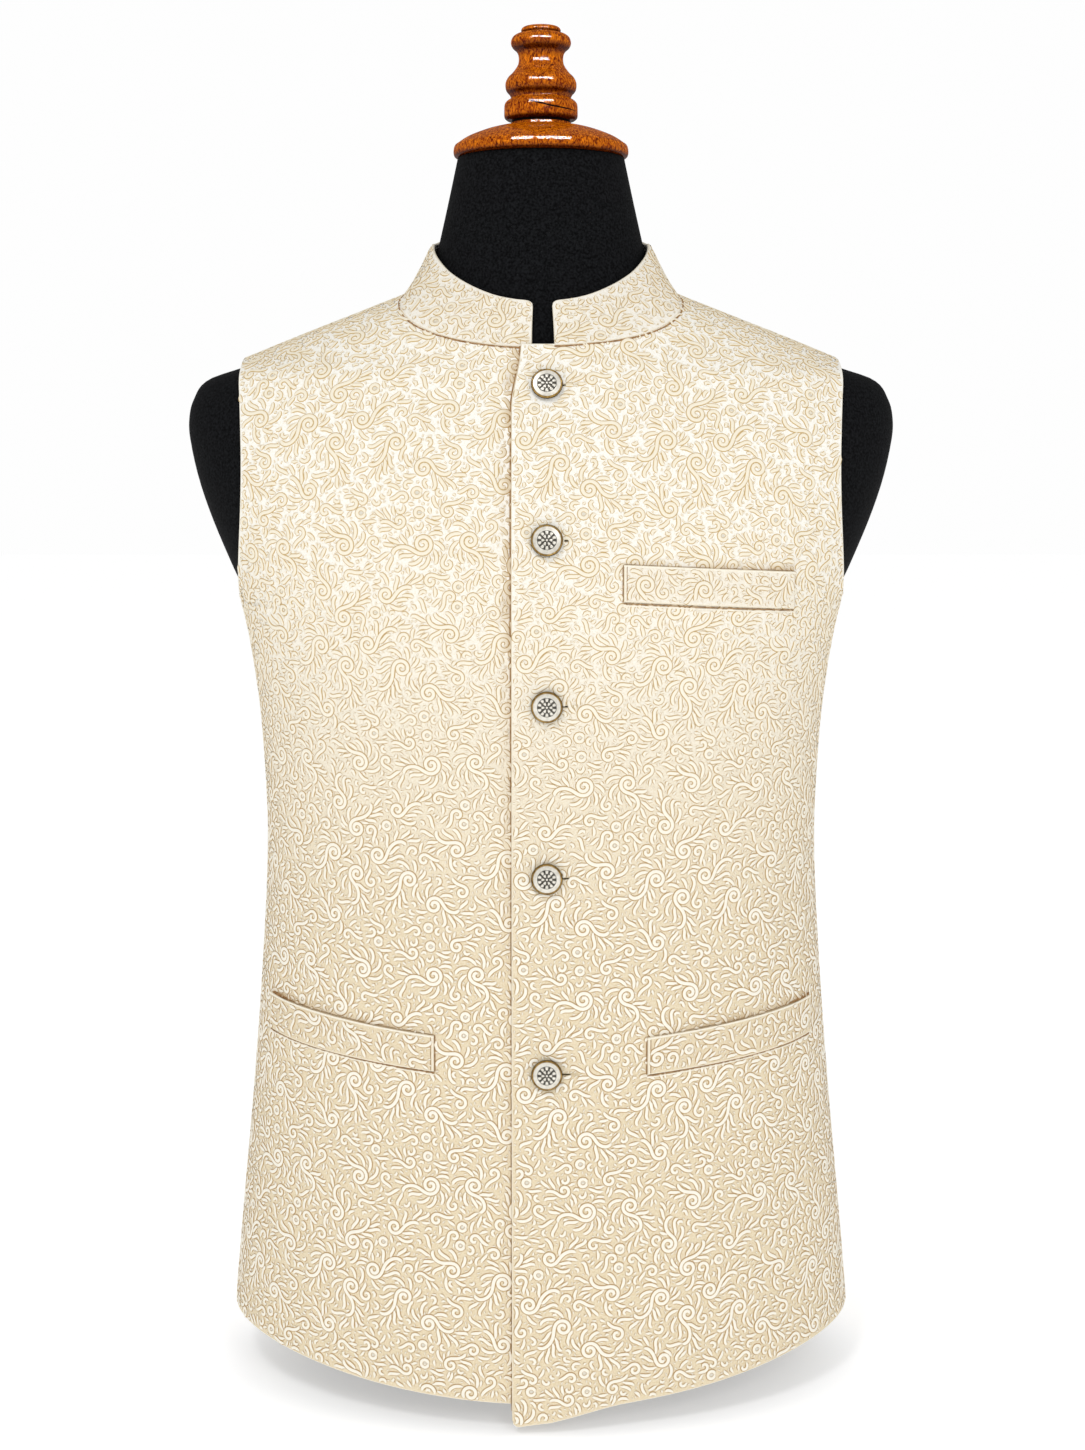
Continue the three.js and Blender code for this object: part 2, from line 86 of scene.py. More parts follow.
LAP_BLEND_TO = 80.0

# Collar
COLLAR_THICKNESS = 2.2
COLLAR_PROUD = 0.5
COLLAR_OVERLAP = 1.8
COLLAR_CLEAR = 2.4
COLLAR_RIM = {
    "side": 790.6, "dip": 42.6, "rise": 16.0, "front_reach": 66.0, "back_reach": 64.0, "power": 1.3,
}
COLLAR_CORNER = 4.0
COLLAR_LENGTH = 450.0
COLLAR_END = {"left_bottom": 8.4, "left_top": 10.4, "right_bottom": -5.6, "right_top": -7.4}

# Buttons
BUTTON_HEIGHTS = (689.4, 592.4, 487.2, 374.2, 244.6)
BUTTON_X = 3.8
BUTTON_RADIUS = 10.3

# Dress form
FORM_ROUNDING = 50.0
FORM_BASE_SHARE = 0.7
FORM_NECK_TOP = 846.5
FORM_COLUMNS = 144
CAP_RADIUS = 59.4
CAP_BOTTOM = FORM_NECK_TOP + SEAM_GAP
FINIAL_BOTTOM = 870.3

# The camera, fitted to the arcs of the hem and of the neck cap
CAMERA_PLACE = (0.00104, -1.5, 0.6504)
CAMERA_PITCH = 7.28
CAMERA_LENS = 53.45

# The skin's sections, as in the solids
SECTION_COLUMNS = ("height", "half_width", "front_depth", "back_depth", "squareness", "form_inset")
SECTIONS = np.array([
    (0, 220, 134, 129, 2, 38),
    (45, 216.7, 132.5, 127, 2, 35),
    (115, 210, 130, 122, 2.05, 28.5),
    (200, 201.3, 126.5, 114, 2.1, 14),
    (290, 193.5, 123, 107, 2.15, 6),
    (377, 188.3, 120, 103.5, 2.2, 4.5),
    (434, 189.3, 120, 106, 2.25, 4),
    (490, 193.6, 122, 111, 2.3, 2.5),
    (546, 203.2, 124, 116, 2.35, 1),
    (575, 214.4, 123, 118, 2.35, 0),
    (602, 225.7, 120, 118, 2.3, 0),
    (630, 235.2, 114.5, 116, 2.25, 0),
    (657, 241.2, 106.5, 112.5, 2.2, 0),
    (671, 241.9, 101.5, 110, 2.15, 0),
    (684.6, 239.5, 96, 106.5, 2.1, 0.8),
    (698.2, 231.8, 90.5, 102.5, 2.05, 3.5),
    (708.2, 204.8, 85.4, 98, 2, 5),
    (723.6, 166.4, 78.6, 91.5, 2, 1.6),
    (734.5, 138.2, 73.2, 86.5, 2, 1.2),
    (745.2, 110.6, 67.6, 81, 2, 1.1),
    (756, 85, 63, 75.5, 2, 1.1),
    (771, 74.4, 60.2, 69, 2, 0.6),
    (787, 70, 58, 64, 2, 0),
    (819, 62.6, 56.4, 59.5, 2, 0),
    (850, 55.8, 54, 55, 2, 0),
])


def mix(a, b, t):
    return a + (b - a) * t


def ease(t):
    t = np.clip(t, 0, 1)
    return t * t * (3 - 2 * t)


def cubic(a, leaving, b, arriving, t):
    """The curve from a to b with these slopes at its ends."""
    return (
        (2 * t**3 - 3 * t**2 + 1) * a + (t**3 - 2 * t**2 + t) * leaving
        + (3 * t**2 - 2 * t**3) * b + (t**3 - t**2) * arriving
    )


def sections_at(heights):
    """The table's columns at these heights, by a cubic through its rows."""
    z = np.clip(heights, SECTIONS[0, 0], SECTIONS[-1, 0])
    last = len(SECTIONS) - 1
    i = np.clip(np.searchsorted(SECTIONS[:, 0], z) - 1, 0, last - 1)
    before, low = SECTIONS[np.maximum(i - 1, 0)], SECTIONS[i]
    high, after = SECTIONS[i + 1], SECTIONS[np.minimum(i + 2, last)]
    span = high[:, :1] - low[:, :1]
    t = (z[:, None] - low[:, :1]) / span
    start = (high - before) / (high[:, :1] - before[:, :1]) * span
    stop = (after - low) / (after[:, :1] - low[:, :1]) * span
    return dict(zip(SECTION_COLUMNS, cubic(low, start, high, stop, t).T))


SHARE_STEPS = 160
ARC_STEPS = 240
TOP_HEIGHT = 850


def quarter_tables(half_width, depth, squareness, shares):
    """A quarter of each section, as x and depth at these shares of its length."""
    angle = np.linspace(0, math.pi / 2, ARC_STEPS + 1)[None, :]
    power = 2 / squareness[:, None]
    x = half_width[:, None] * np.sin(angle) ** power
    y = depth[:, None] * np.clip(np.cos(angle), 0, 1) ** power
    y[:, -1] = 0
    steps = np.hypot(np.diff(x, axis=1), np.diff(y, axis=1))
    run = np.concatenate([np.zeros((len(x), 1)), np.cumsum(steps, axis=1)], axis=1)
    run /= run[:, -1:]
    return [np.array([np.interp(shares, r, v) for r, v in zip(run, values)]) for values in (x, y)]


def every_millimetre(depth):
    """The quarter sections at each millimetre of height, to look points of the skin up in."""
    sizes = sections_at(np.arange(TOP_HEIGHT + 1.0))
    shares = np.linspace(0, 1, SHARE_STEPS + 1)
    return quarter_tables(sizes["half_width"], sizes[depth], sizes["squareness"], shares)


FRONT_X, FRONT_Y = every_millimetre("front_depth")
BACK_X, BACK_Y = every_millimetre("back_depth")


def skin(turns, heights):
    """Points of the skin. Turn 0 is the front, 1 the left side, 2 the back and -1 the right side."""
    turns, heights = np.broadcast_arrays(np.asarray(turns, float), np.asarray(heights, float))
    wrapped = (turns + 2) % 4 - 2
    at_front = np.abs(wrapped) <= 1
    share = np.where(at_front, np.abs(wrapped), 2 - np.abs(wrapped)) * SHARE_STEPS
    j = np.minimum(share.astype(int), SHARE_STEPS - 1)
    u = share - j
    row = np.clip(heights, 0, TOP_HEIGHT - 1e-6)
    i = row.astype(int)
    t = row - i

    def pick(table):
        low = mix(table[i, j], table[i, j + 1], u)
        high = mix(table[i + 1, j], table[i + 1, j + 1], u)
        return mix(low, high, t)

    x = np.where(at_front, pick(FRONT_X), pick(BACK_X)) * np.sign(wrapped)
    y = np.where(at_front, -pick(FRONT_Y), pick(BACK_Y))
    return np.stack([x, y, heights], axis=-1)


def run_along(line):
    """How far along a line each of its points lies."""
    return np.concatenate([[0], np.cumsum(np.linalg.norm(np.diff(line, axis=0), axis=1))])


def unit(vectors):
    return vectors / np.maximum(np.linalg.norm(vectors, axis=-1, keepdims=True), 1e-9)


# How far to each side of a point its direction off the skin is measured
SLOPE_TURN = 0.012
SLOPE_HEIGHT = 1.5
HALVINGS = 26


def off_skin(turns, heights, distance):
    """Points at a distance outside the skin."""
    across = skin(turns + SLOPE_TURN, heights) - skin(turns - SLOPE_TURN, heights)
    up = skin(turns, heights + SLOPE_HEIGHT) - skin(turns, heights - SLOPE_HEIGHT)
    return skin(turns, heights) + unit(np.cross(across, up)) * np.asarray(distance)[..., None]


def solve(function, value, low, high):
    """The arguments at which a rising function passes a value, by halving."""
    low, high = np.array(low, float), np.array(high, float)
    for _ in range(HALVINGS):
        middle = (low + high) / 2
        under = function(middle) < value
        low, high = np.where(under, middle, low), np.where(under, high, middle)
    return (low + high) / 2


def rim_height(turns, rim, low, high):
    """The height of a rim round the neck, which dips at the front and rises at the back."""
    turns = np.asarray(turns, float)

    def above(z):
        y = skin(turns, z)[..., 1]
        front = rim["side"] - rim["dip"] * np.clip(-y / rim["front_reach"], 0, None) ** rim["power"]
        back = rim["side"] + rim["rise"] * ease(y / rim["back_reach"])
        return z - np.where(y < 0, front, back)

    return solve(above, 0, np.full(turns.shape, low), np.full(turns.shape, high))


def neck_seam(turns):
    """The height of the seam between body and collar."""
    return rim_height(turns, NECK_RIM, 690.0, 790.0)


def turn_at_x(x, heights):
    x, heights = np.broadcast_arrays(np.asarray(x, float), np.asarray(heights, float))
    found = solve(lambda t: skin(t, heights)[..., 0], np.abs(x), np.zeros(x.shape), np.ones(x.shape))
    return np.sign(x) * found


def lap_lift(x):
    return LAP_LIFT * (1 - ease((x - LAP_FLAT_TO) / (LAP_BLEND_TO - LAP_FLAT_TO)))


def lift_on_left(at):
    """The lap's lift at points of the skin, which only the left front has."""
    return np.where((at[..., 0] > 0) & (at[..., 1] < 0), lap_lift(at[..., 0]), 0)


def corner_lift(distance, radius):
    inside = np.clip(radius - distance, 0, radius)
    return radius - np.sqrt(radius**2 - inside**2)


def hem(turns, side):
    at = skin(turns, HEM_SIDE)
    x, y = at[..., 0], at[..., 1]
    sizes = sections_at(np.array([HEM_SIDE]))
    depth = np.where(y < 0, sizes["front_depth"], sizes["back_depth"])
    low = np.where(y < 0, HEM_FRONT.get(side, HEM_BACK), HEM_BACK)
    drop = LAP_CORNER_DROP * (1 - ease((x - LAP_EDGE) / LAP_DROP_REACH)) if side == "left" else 0
    return mix(HEM_SIDE, low, np.abs(y / depth) ** HEM_POWER) - drop


def row_height(turns, level, side):
    """The height of a panel's row, which is level at the side and follows hem and neck elsewhere."""
    v = (level - HEM_SIDE) / (NECK_SIDE - HEM_SIDE)
    by_hem = np.clip(1 - v / 0.4, 0, 1) ** 1.4
    by_neck = np.clip((v - 0.5) / 0.5, 0, 1) ** 1.4
    return level + (hem(turns, side) - HEM_SIDE) * by_hem + (neck_seam(turns) - NECK_SIDE) * by_neck


# The levels at which the solids' rows lie, which the finer rows keep to
ROW_LEVELS = np.array([
    HEM_SIDE, 90, 140, 190, 232, 262, 292, 340, 390, 435, 475, 510, 535, 549, ARMPIT + 1, 556, 564, 580,
    605, 632, 658, 680, 693, 700, SHOULDER_ROLL, SHOULDER_TIP, 713, 722, 733, 745, NECK_SIDE,
])


def reach(level, is_front):
    """How far round a panel goes at a level: to the side and shoulder seams, or to the armhole's edge."""
    seam = SEAM_GAP / 2 / sections_at(np.array([level]))["half_width"][0]
    if level <= ARMPIT or level >= SHOULDER_TIP:
        return 1 - seam

    def beyond(share):
        turn = share if is_front else 2 - share
        z = row_height(turn, level, "")
        rise = np.clip((z - ARMPIT) / (SHOULDER_TIP - ARMPIT), 0, 1)
        edge = mix(ARM_EDGE_BOTTOM, ARM_EDGE_TOP, rise) - ARM_EDGE_BOW * np.sin(np.pi * rise)
        return skin(turn, z)[..., 0] - edge

    return min(1 - seam, solve(beyond, 0, 0.3, 1.0).item())


def fine_levels(step):
    """Rows no further apart than a step, and closer where the armhole's edge runs over the shoulder."""
    levels = []
    for low, high in zip(ROW_LEVELS[:-1], ROW_LEVELS[1:]):
        near_tip = TIP_ROWS_FROM <= low < SHOULDER_TIP
        count = max(1, math.ceil((high - low) / (step / 4 if near_tip else step)))
        shares = np.linspace(0, 1, count, endpoint=False)
        if low == SHOULDER_ROLL:
            shares = 1 - (1 - np.linspace(0, 1, ROLL_ROWS, endpoint=False)) ** 2
        levels += list(mix(low, high, shares))
    bottom, top = levels[0], ROW_LEVELS[-1]
    return np.array([bottom, bottom + EDGE_ROW, *levels[1:], top - EDGE_ROW, top])


# Millimetres, except for the counts
GRID_STEP = 6.5
TIP_ROWS_FROM = 680
ROLL_ROWS = 9
EDGE_ROW = 1.4
EDGE_STRIP = 1.3
PANEL_COLUMNS = 34
PANEL_WIDTH = 250
CROWDING = 0.42


def edged_shares(count, length, crowding=0.0):
    """Shares of a length, even or crowded to its end, with a narrow strip for the rolled edge at each end."""
    strip = EDGE_STRIP / length
    t = np.linspace(0, 1, count + 1)
    shares = mix(strip, 1 - strip, t + crowding * t * (1 - t))
    return np.array([0.0, *shares, 1.0])


def lap_edge(heights):
    """How far across the left front's edge lies, which curves towards the collar."""
    below_neck = neck_seam(np.array(0.0)) - heights
    return mix(LAP_EDGE_AT_NECK, LAP_EDGE, ease(below_neck / LAP_EDGE_CURVE))


def front_grid(side):
    """A front's turns, heights and lift off the skin, by row from the hem and column from the opening."""
    sign = 1 if side == "left" else -1
    levels = fine_levels(GRID_STEP)
    ends = sign * np.array([reach(level, True) for level in levels])
    middle = row_height(np.zeros(len(levels)), levels, side)
    edge = lap_edge(middle) if side == "left" else np.full(len(levels), UNDERLAP_EDGE)
    starts = turn_at_x(edge, middle)
    near_edge = (0.0, 0.004, 0.009, 0.015)
    shares = np.array([*near_edge, *edged_shares(PANEL_COLUMNS, PANEL_WIDTH, CROWDING)[3:]])
    turns = mix(starts[:, None], ends[:, None], shares[None, :])
    heights = row_height(turns, levels[:, None], side)
    lifts = np.full(turns.shape, SHOULDER_GAP)
    if side == "left":
        x = skin(turns, heights)[..., 0]
        fade = np.clip(1 - (levels - HEM_SIDE) / CORNER_FADE, 0, 1)[:, None]
        heights = heights + corner_lift(np.abs(x - x[:, :1]), CORNER_RADIUS) * fade
        lifts = lifts + lap_lift(skin(turns, heights)[..., 0])
    return turns, heights, lifts


def back_grid(side):
    """A back half's turns, heights and lift, by row from the hem and column from the middle seam."""
    sign = -1 if side == "left" else 1
    levels = fine_levels(GRID_STEP)
    starts = SEAM_GAP / 2 / sections_at(levels)["half_width"]
    ends = np.array([reach(level, False) for level in levels])
    shares = edged_shares(PANEL_COLUMNS, PANEL_WIDTH, CROWDING)
    turns = 2 + sign * mix(starts[:, None], ends[:, None], shares[None, :])
    heights = row_height(turns, levels[:, None], "")
    return turns, heights, np.full(turns.shape, SHOULDER_GAP)


def panel_walls(grid, mirrored):
    """A panel's outer and inner points, with its columns round to the wearer's left."""
    turns, heights, lifts = (values[:, ::-1] if mirrored else values for values in grid)
    return off_skin(turns, heights, lifts + CLOTH_THICKNESS), off_skin(turns, heights, lifts)


def collar_ends(level):
    """The turns at which the collar starts on the left and ends on the right, round the back."""
    at_seam = neck_seam(np.array(0.0))
    left, right = (float(turn_at_x(COLLAR_END[f"{side}_{level}"], at_seam)) for side in ("left", "right"))
    return left, 4 + right


def collar_grids():
    """The collar's outer and inner points, by row from its seam up."""
    ends = np.array([collar_ends("bottom"), collar_ends("top")])
    near = np.array([0, 0.0012, 0.0028, 0.0055, 0.009])
    shares = np.array([*near, *np.linspace(near[-1], 1 - near[-1], 90)[1:-1], *(1 - near[::-1])])
    ups = np.array([0, 0.035, 0.17, 0.34, 0.5, 0.66, 0.83, 0.965, 1.0])
    rows = []
    for up in ups:
        turns = mix(*mix(ends[0], ends[1], up), shares)
        height = neck_seam(turns) - COLLAR_OVERLAP
        lift = SHOULDER_GAP + CLOTH_THICKNESS + COLLAR_PROUD + lift_on_left(skin(turns, height))
        bottom = off_skin(turns, height, lift)
        top = skin(turns, rim_height(turns, COLLAR_RIM, 730.0, 830.0))
        top = top + unit(top * np.array([1, 1, 0])) * (COLLAR_CLEAR + COLLAR_THICKNESS)
        round_off = corner_lift(np.minimum(shares, 1 - shares) * COLLAR_LENGTH, COLLAR_CORNER)
        length = np.linalg.norm(top - bottom, axis=-1)
        rows.append(mix(bottom, top, (up * (1 - round_off / length))[:, None]))
    outer = np.array(rows)
    return outer, outer - grid_normals(outer) * COLLAR_THICKNESS


WELTS = {
    "welt_pocket_right": {"x": (-69.5, -182.8), "bottom": (244.1, 254.8), "top": (268.2, 279.6)},
    "welt_pocket_left": {"x": (69.2, 181.6), "bottom": (242.1, 252.4), "top": (267.0, 278.0)},
    "welt_chest": {"x": (52.4, 163.5), "bottom": (554.0, 547.6), "top": (577.4, 572.2)},
}


def welt_grids(name):
    place = WELTS[name]
    across = edged_shares(30, 120)
    ups = edged_shares(6, 25)
    t, up = np.meshgrid(across, ups)
    heights = mix(mix(*place["bottom"], t), mix(*place["top"], t), up)
    turns = mix(turn_at_x(place["x"][0], heights), turn_at_x(place["x"][1], heights), t)
    lift = SHOULDER_GAP + CLOTH_THICKNESS + SEAM_GAP + lift_on_left(skin(turns, heights))
    return off_skin(turns, heights, lift + WELT_THICKNESS), off_skin(turns, heights, lift)


def grid_normals(grid):
    """Outward directions of a grid whose rows go up and whose columns go round to the wearer's left."""
    return unit(np.cross(np.gradient(grid, axis=1), np.gradient(grid, axis=0)))


# Meshes
def grid_faces(rows, columns, start=0):
    r, c = np.meshgrid(np.arange(rows - 1), np.arange(columns - 1), indexing="ij")
    a = start + r * columns + c
    return np.stack([a, a + 1, a + columns + 1, a + columns], axis=-1).reshape(-1, 4)


def boundary(rows, columns):
    """The grid's outer points in order, once round."""
    index = np.arange(rows * columns).reshape(rows, columns)
    return np.concatenate([index[0], index[1:, -1], index[-1, -2::-1], index[-2:0:-1, 0]])


def new_object(name, points, faces, material, smooth=True):
    mesh = bpy.data.meshes.new(name)
    mesh.from_pydata((np.asarray(points) * MM).tolist(), [], [list(map(int, f)) for f in faces])
    mesh.update()
    obj = bpy.data.objects.new(name, mesh)
    bpy.context.scene.collection.objects.link(obj)
    if material is not None:
        mesh.materials.append(material)
    if smooth:
        mesh.shade_smooth()
    return obj


def flat_grid(outer):
    """Where a panel's points lie when it is spread flat, in millimetres, its straight edge upright."""
    rows, columns = outer.shape[:2]
    obj = new_object("spread", outer.reshape(-1, 3), grid_faces(rows, columns), None)
    obj.data.uv_layers.new(name="spread")
    bpy.ops.object.select_all(action="DESELECT")
    bpy.context.view_layer.objects.active = obj
    obj.select_set(True)
    bpy.ops.object.mode_set(mode="EDIT")
    bpy.ops.mesh.select_all(action="SELECT")
    bpy.ops.uv.unwrap(method="ANGLE_BASED", margin=0)
    bpy.ops.object.mode_set(mode="OBJECT")
    loops = len(obj.data.loops)
    uv = np.zeros(loops * 2, np.float32)
    obj.data.uv_layers[0].uv.foreach_get("vector", uv)
    corners = np.zeros(loops, np.int32)
    obj.data.loops.foreach_get("vertex_index", corners)
    flat = np.zeros((rows * columns, 2))
    flat[corners] = uv.reshape(-1, 2)
    bpy.data.objects.remove(obj)
    flat = flat.reshape(rows, columns, 2)
    in_space = np.concatenate([flat, np.zeros((rows, columns, 1))], axis=-1)
    flat *= math.sqrt(grid_area(outer) / grid_area(in_space))
    # the straight edge is the one at the lap or the middle of the back
    straight = 0 if abs(outer[rows // 2, 0, 0]) < abs(outer[rows // 2, -1, 0]) else -1
    up = flat[rows * 2 // 3, straight] - flat[rows // 6, straight]
    turn = math.atan2(up[0], up[1])
    spin = np.array([[math.cos(turn), math.sin(turn)], [-math.sin(turn), math.cos(turn)]])
    flat = flat @ spin
    if flat[rows // 2, -1, 0] < flat[rows // 2, 0, 0]:
        flat[..., 0] *= -1
    return flat - flat.reshape(-1, 2).min(axis=0)


def grid_area(grid):
    a, b, c, d = grid[:-1, :-1], grid[:-1, 1:], grid[1:, 1:], grid[1:, :-1]
    first = np.linalg.norm(np.cross(b - a, c - a), axis=-1)
    second = np.linalg.norm(np.cross(c - a, d - a), axis=-1)
    return float((first + second).sum() / 2)


# How far the cloth's two sides stop short of its edge, as a share of its thickness
ROLL_SHARE = 0.28


def cloth_shell(name, outer, inner, flat, material, tones):
    """A closed cloth wall with a rolled edge, and its spread-flat place as its UV map, in metres."""
    rows, columns = outer.shape[:2]
    ring = boundary(rows, columns)
    outer_points, inner_points = outer.reshape(-1, 3).copy(), inner.reshape(-1, 3).copy()
    inward = unit(pull_in(outer)[ring // columns, ring % columns])
    edge = (outer_points[ring] + inner_points[ring]) / 2
    roll = CLOTH_THICKNESS * ROLL_SHARE
    outer_points[ring] += inward * roll
    inner_points[ring] += inward * roll
    count = rows * columns
    points = np.concatenate([outer_points, inner_points, edge])
    faces = list(grid_faces(rows, columns))
    faces += [f[::-1] for f in grid_faces(rows, columns, count)]
    edges = 2 * count + np.arange(len(ring))
    for k, n, edge_k, edge_n in zip(ring, np.roll(ring, -1), edges, np.roll(edges, -1)):
        faces.append([n, k, edge_k, edge_n])
        faces.append([edge_n, edge_k, count + k, count + n])
    obj = new_object(name, points, faces, material)
    spread = flat.reshape(-1, 2)
    set_uv(obj, np.concatenate([spread, spread, spread[ring]]) * MM)
    clean = np.zeros(len(points))
    clean[ring] = 1
    clean[2 * count:] = 1
    add_attribute(obj, "clean_edge", clean)
    add_tones(obj, tones, points)
    return obj


def pull_in(outer):
    """For each point, the direction along the cloth towards the panel's middle."""
    inward = np.zeros_like(outer)
    inward[0] += unit(outer[1] - outer[0])
    inward[-1] += unit(outer[-2] - outer[-1])
    inward[:, 0] += unit(outer[:, 1] - outer[:, 0])
    inward[:, -1] += unit(outer[:, -2] - outer[:, -1])
    return inward


def set_uv(obj, per_point):
    corners = np.zeros(len(obj.data.loops), np.int32)
    obj.data.loops.foreach_get("vertex_index", corners)
    layer = obj.data.uv_layers.new(name="spread")
    layer.uv.foreach_set("vector", per_point[corners].astype(np.float32).ravel())


def add_attribute(obj, name, values):
    attribute = obj.data.attributes.new(name, "FLOAT", "POINT")
    attribute.data.foreach_set("value", np.asarray(values, np.float32))


def add_tones(obj, tones, points):
    """How pale the weave is and how deep in shade, at each point."""
    for name, values in zip(("pale", "shade"), tones(points)):
        add_attribute(obj, name, values)


# The scroll weave: volutes, leaves, rings, commas and seeds, grown in one repeat whose sides join
REPEAT = (124.0, 142.0)
CELL = 0.5
SCROLL_SEED = 5
STEP = 0.7
FIELD_REACH = 7.0


class Scrolls:
    """Strokes of one repeat, which keep clear of each other across the repeat's sides too."""

    def __init__(self, seed):
        self.random = random.Random(seed)
        self.size = (round(REPEAT[0] / CELL), round(REPEAT[1] / CELL))
        self.room = np.full(self.size, FIELD_REACH)
        self.flow = np.zeros(self.size)
        self.strokes = []
        self.eyes = []
        reach = math.ceil(FIELD_REACH / CELL)
        offsets = [(i, j) for i in range(-reach, reach + 1) for j in range(-reach, reach + 1)]
        self.disc = np.array([o for o in offsets if math.hypot(*o) * CELL < FIELD_REACH])
        self.reach = np.hypot(self.disc[:, 0], self.disc[:, 1]) * CELL

    def cell(self, x, y):
        return int(x / CELL // 1) % self.size[0], int(y / CELL // 1) % self.size[1]

    def keep(self, points, width):
        points = np.asarray(points)
        along = np.gradient(points, axis=0)
        for p, d in zip(points, along):
            cells = (self.disc + np.floor(p / CELL).astype(int)) % self.size
            i, j = cells[:, 0], cells[:, 1]
            nearer = self.reach < self.room[i, j]
            self.room[i[nearer], j[nearer]] = self.reach[nearer]
            self.flow[i[nearer], j[nearer]] = math.atan2(d[1], d[0])
        self.strokes.append((points, width))

    def spot(self, clear, most=None):
        """A free place, or nothing where no place has that much room."""
        free = np.argwhere((self.room > clear) & (self.room <= (most or FIELD_REACH)))
        if not len(free):
            return None
        i, j = free[self.random.randrange(len(free))]
        return (i + 0.5) * CELL, (j + 0.5) * CELL

    def grow(self, x, y, heading, bends, clear, follow=None):
        points = []
        skip = int(clear * 2.2 / STEP)
        for bend in bends:
            cell = self.cell(x, y)
            if self.room[cell] < clear:
                break
            if len(points) > skip:
                older = np.asarray(points[:-skip])
                if np.min(np.hypot(older[:, 0] - x, older[:, 1] - y)) < clear * 0.97:
                    break
            points.append((x, y))
            if follow is not None and self.room[cell] < FIELD_REACH:
                flow = self.flow[cell] + follow
                turn = (flow - heading + math.pi / 2) % math.pi - math.pi / 2
                heading += max(-0.28, min(0.28, turn))
            heading += bend * STEP
            x += math.cos(heading) * STEP
            y += math.sin(heading) * STEP
        return points

    def volute(self, radius, arm, width, clear, pitch, tries=30):
        """A spiral from its eye outwards, with an arm that swings away from it."""
        pick = self.random
        best = []
        for _ in range(tries):
            place = self.spot(min(radius * 0.95, FIELD_REACH - 0.3))
            if place is None:
                place = self.spot(clear)
            if place is None:
                return None
            hand = pick.choice((-1, 1))
            bends, r = [], 0.95
            while r < radius:
                bends.append(hand / r)
                r += pitch * STEP / (2 * math.pi * r)
            turning = len(bends)
            swing = pick.uniform(7, 14)
            count = int(arm / STEP)
            for k in range(count):
                curl = max(0.0, k / count - 0.55) / 0.45
                swung = mix(1 / radius, -1 / swing, float(ease(k / count * 2.2)))
                bends.append(hand * (swung - 0.3 * curl**2))
            points = self.grow(*place, pick.uniform(0, 2 * math.pi), bends, clear)
            if len(points) > turning and len(points) > len(best):
                best, kept_turning, kept_hand = points, turning, hand
        if not len(best):
            return None
        self.keep(best, width)
        return best, kept_turning, kept_hand

    def leaves(self, stroke, clear, longest, width):
        """Crescents that wrap round the outside of a volute, and hooked leaves on both sides of its arm."""
        points, turning, hand = stroke
        pick = self.random
        points = np.asarray(points)
        along = np.gradient(points, axis=0)
        station = max(turning - 22, 4)
        while station < len(points) - 2:
            tangent = math.atan2(along[station][1], along[station][0])
            on_volute = station < turning
            for side in (-hand,) if on_volute else (-hand, hand):
                lean = pick.uniform(0.4, 0.6)
                heading = tangent + side * lean
                run = (clear + 0.1) / math.sin(lean)
                foot = points[station]
                x = foot[0] + math.cos(heading) * run
                y = foot[1] + math.sin(heading) * run
                count = int(longest * pick.uniform(0.6, 1.0) / STEP)
                if on_volute:
                    bends = [hand * mix(0.1, 0.3, (k / count) ** 2) for k in range(count)]
                else:
                    bends = [side * mix(-0.12, 0.6, (k / count) ** 1.5) for k in range(count)]
                leaf = self.grow(x, y, heading, bends, clear)
                if len(leaf) * STEP > 2.6:
                    stalk = foot + np.array([math.cos(heading), math.sin(heading)]) * run * 0.6
                    self.keep([stalk, *leaf], width)
            station += max(int(clear * 1.6 / STEP), 1)

    def ring(self, radius, clear, width):
        """A closed round, which gets a pale eye."""
        place = self.spot(radius + clear)
        if place is None:
            return
        turns = np.linspace(0, 2 * math.pi, 13)
        self.eyes.append(place)
        self.keep(place + radius * np.stack([np.cos(turns), np.sin(turns)], axis=1), width)

    def echo(self, clear, most, longest, width):
        """A stroke that runs along its neighbours."""
        pick = self.random
        place = self.spot(clear, most)
        if place is None:
            return
        start = self.flow[self.cell(*place)]
        lean = pick.choice((-1, 1)) * pick.uniform(0.0, 0.3)
        count = int(pick.uniform(0.5, 1.0) * longest / STEP)
        one = self.grow(*place, start, [0.0] * count, clear, lean)
        two = self.grow(*place, start + math.pi, [0.0] * count, clear, lean)
        points = two[::-1] + one[1:]
        if len(points) * STEP > 3.0:
            self.keep(points, width)

    def comma(self, clear, width, shortest):
        pick = self.random
        place = self.spot(clear)
        if place is None:
            return
        count = int(pick.uniform(shortest, 8.5) / STEP)
        bend = pick.choice((-1, 1)) * pick.uniform(0.18, 0.5)
        bends = [bend * (0.4 + k / count) for k in range(count)]
        points = self.grow(*place, pick.uniform(0, 2 * math.pi), bends, clear)
        if len(points) * STEP > shortest:
            self.keep(points, width)

    def seed(self, clear, width, half_length):
        place = self.spot(clear)
        if place is None:
            return
        heading = self.flow[self.cell(*place)] + self.random.uniform(-0.6, 0.6)
        half = (math.cos(heading) * half_length, math.sin(heading) * half_length)
        x, y = place
        self.keep([(x - half[0], y - half[1]), (x, y), (x + half[0], y + half[1])], width)


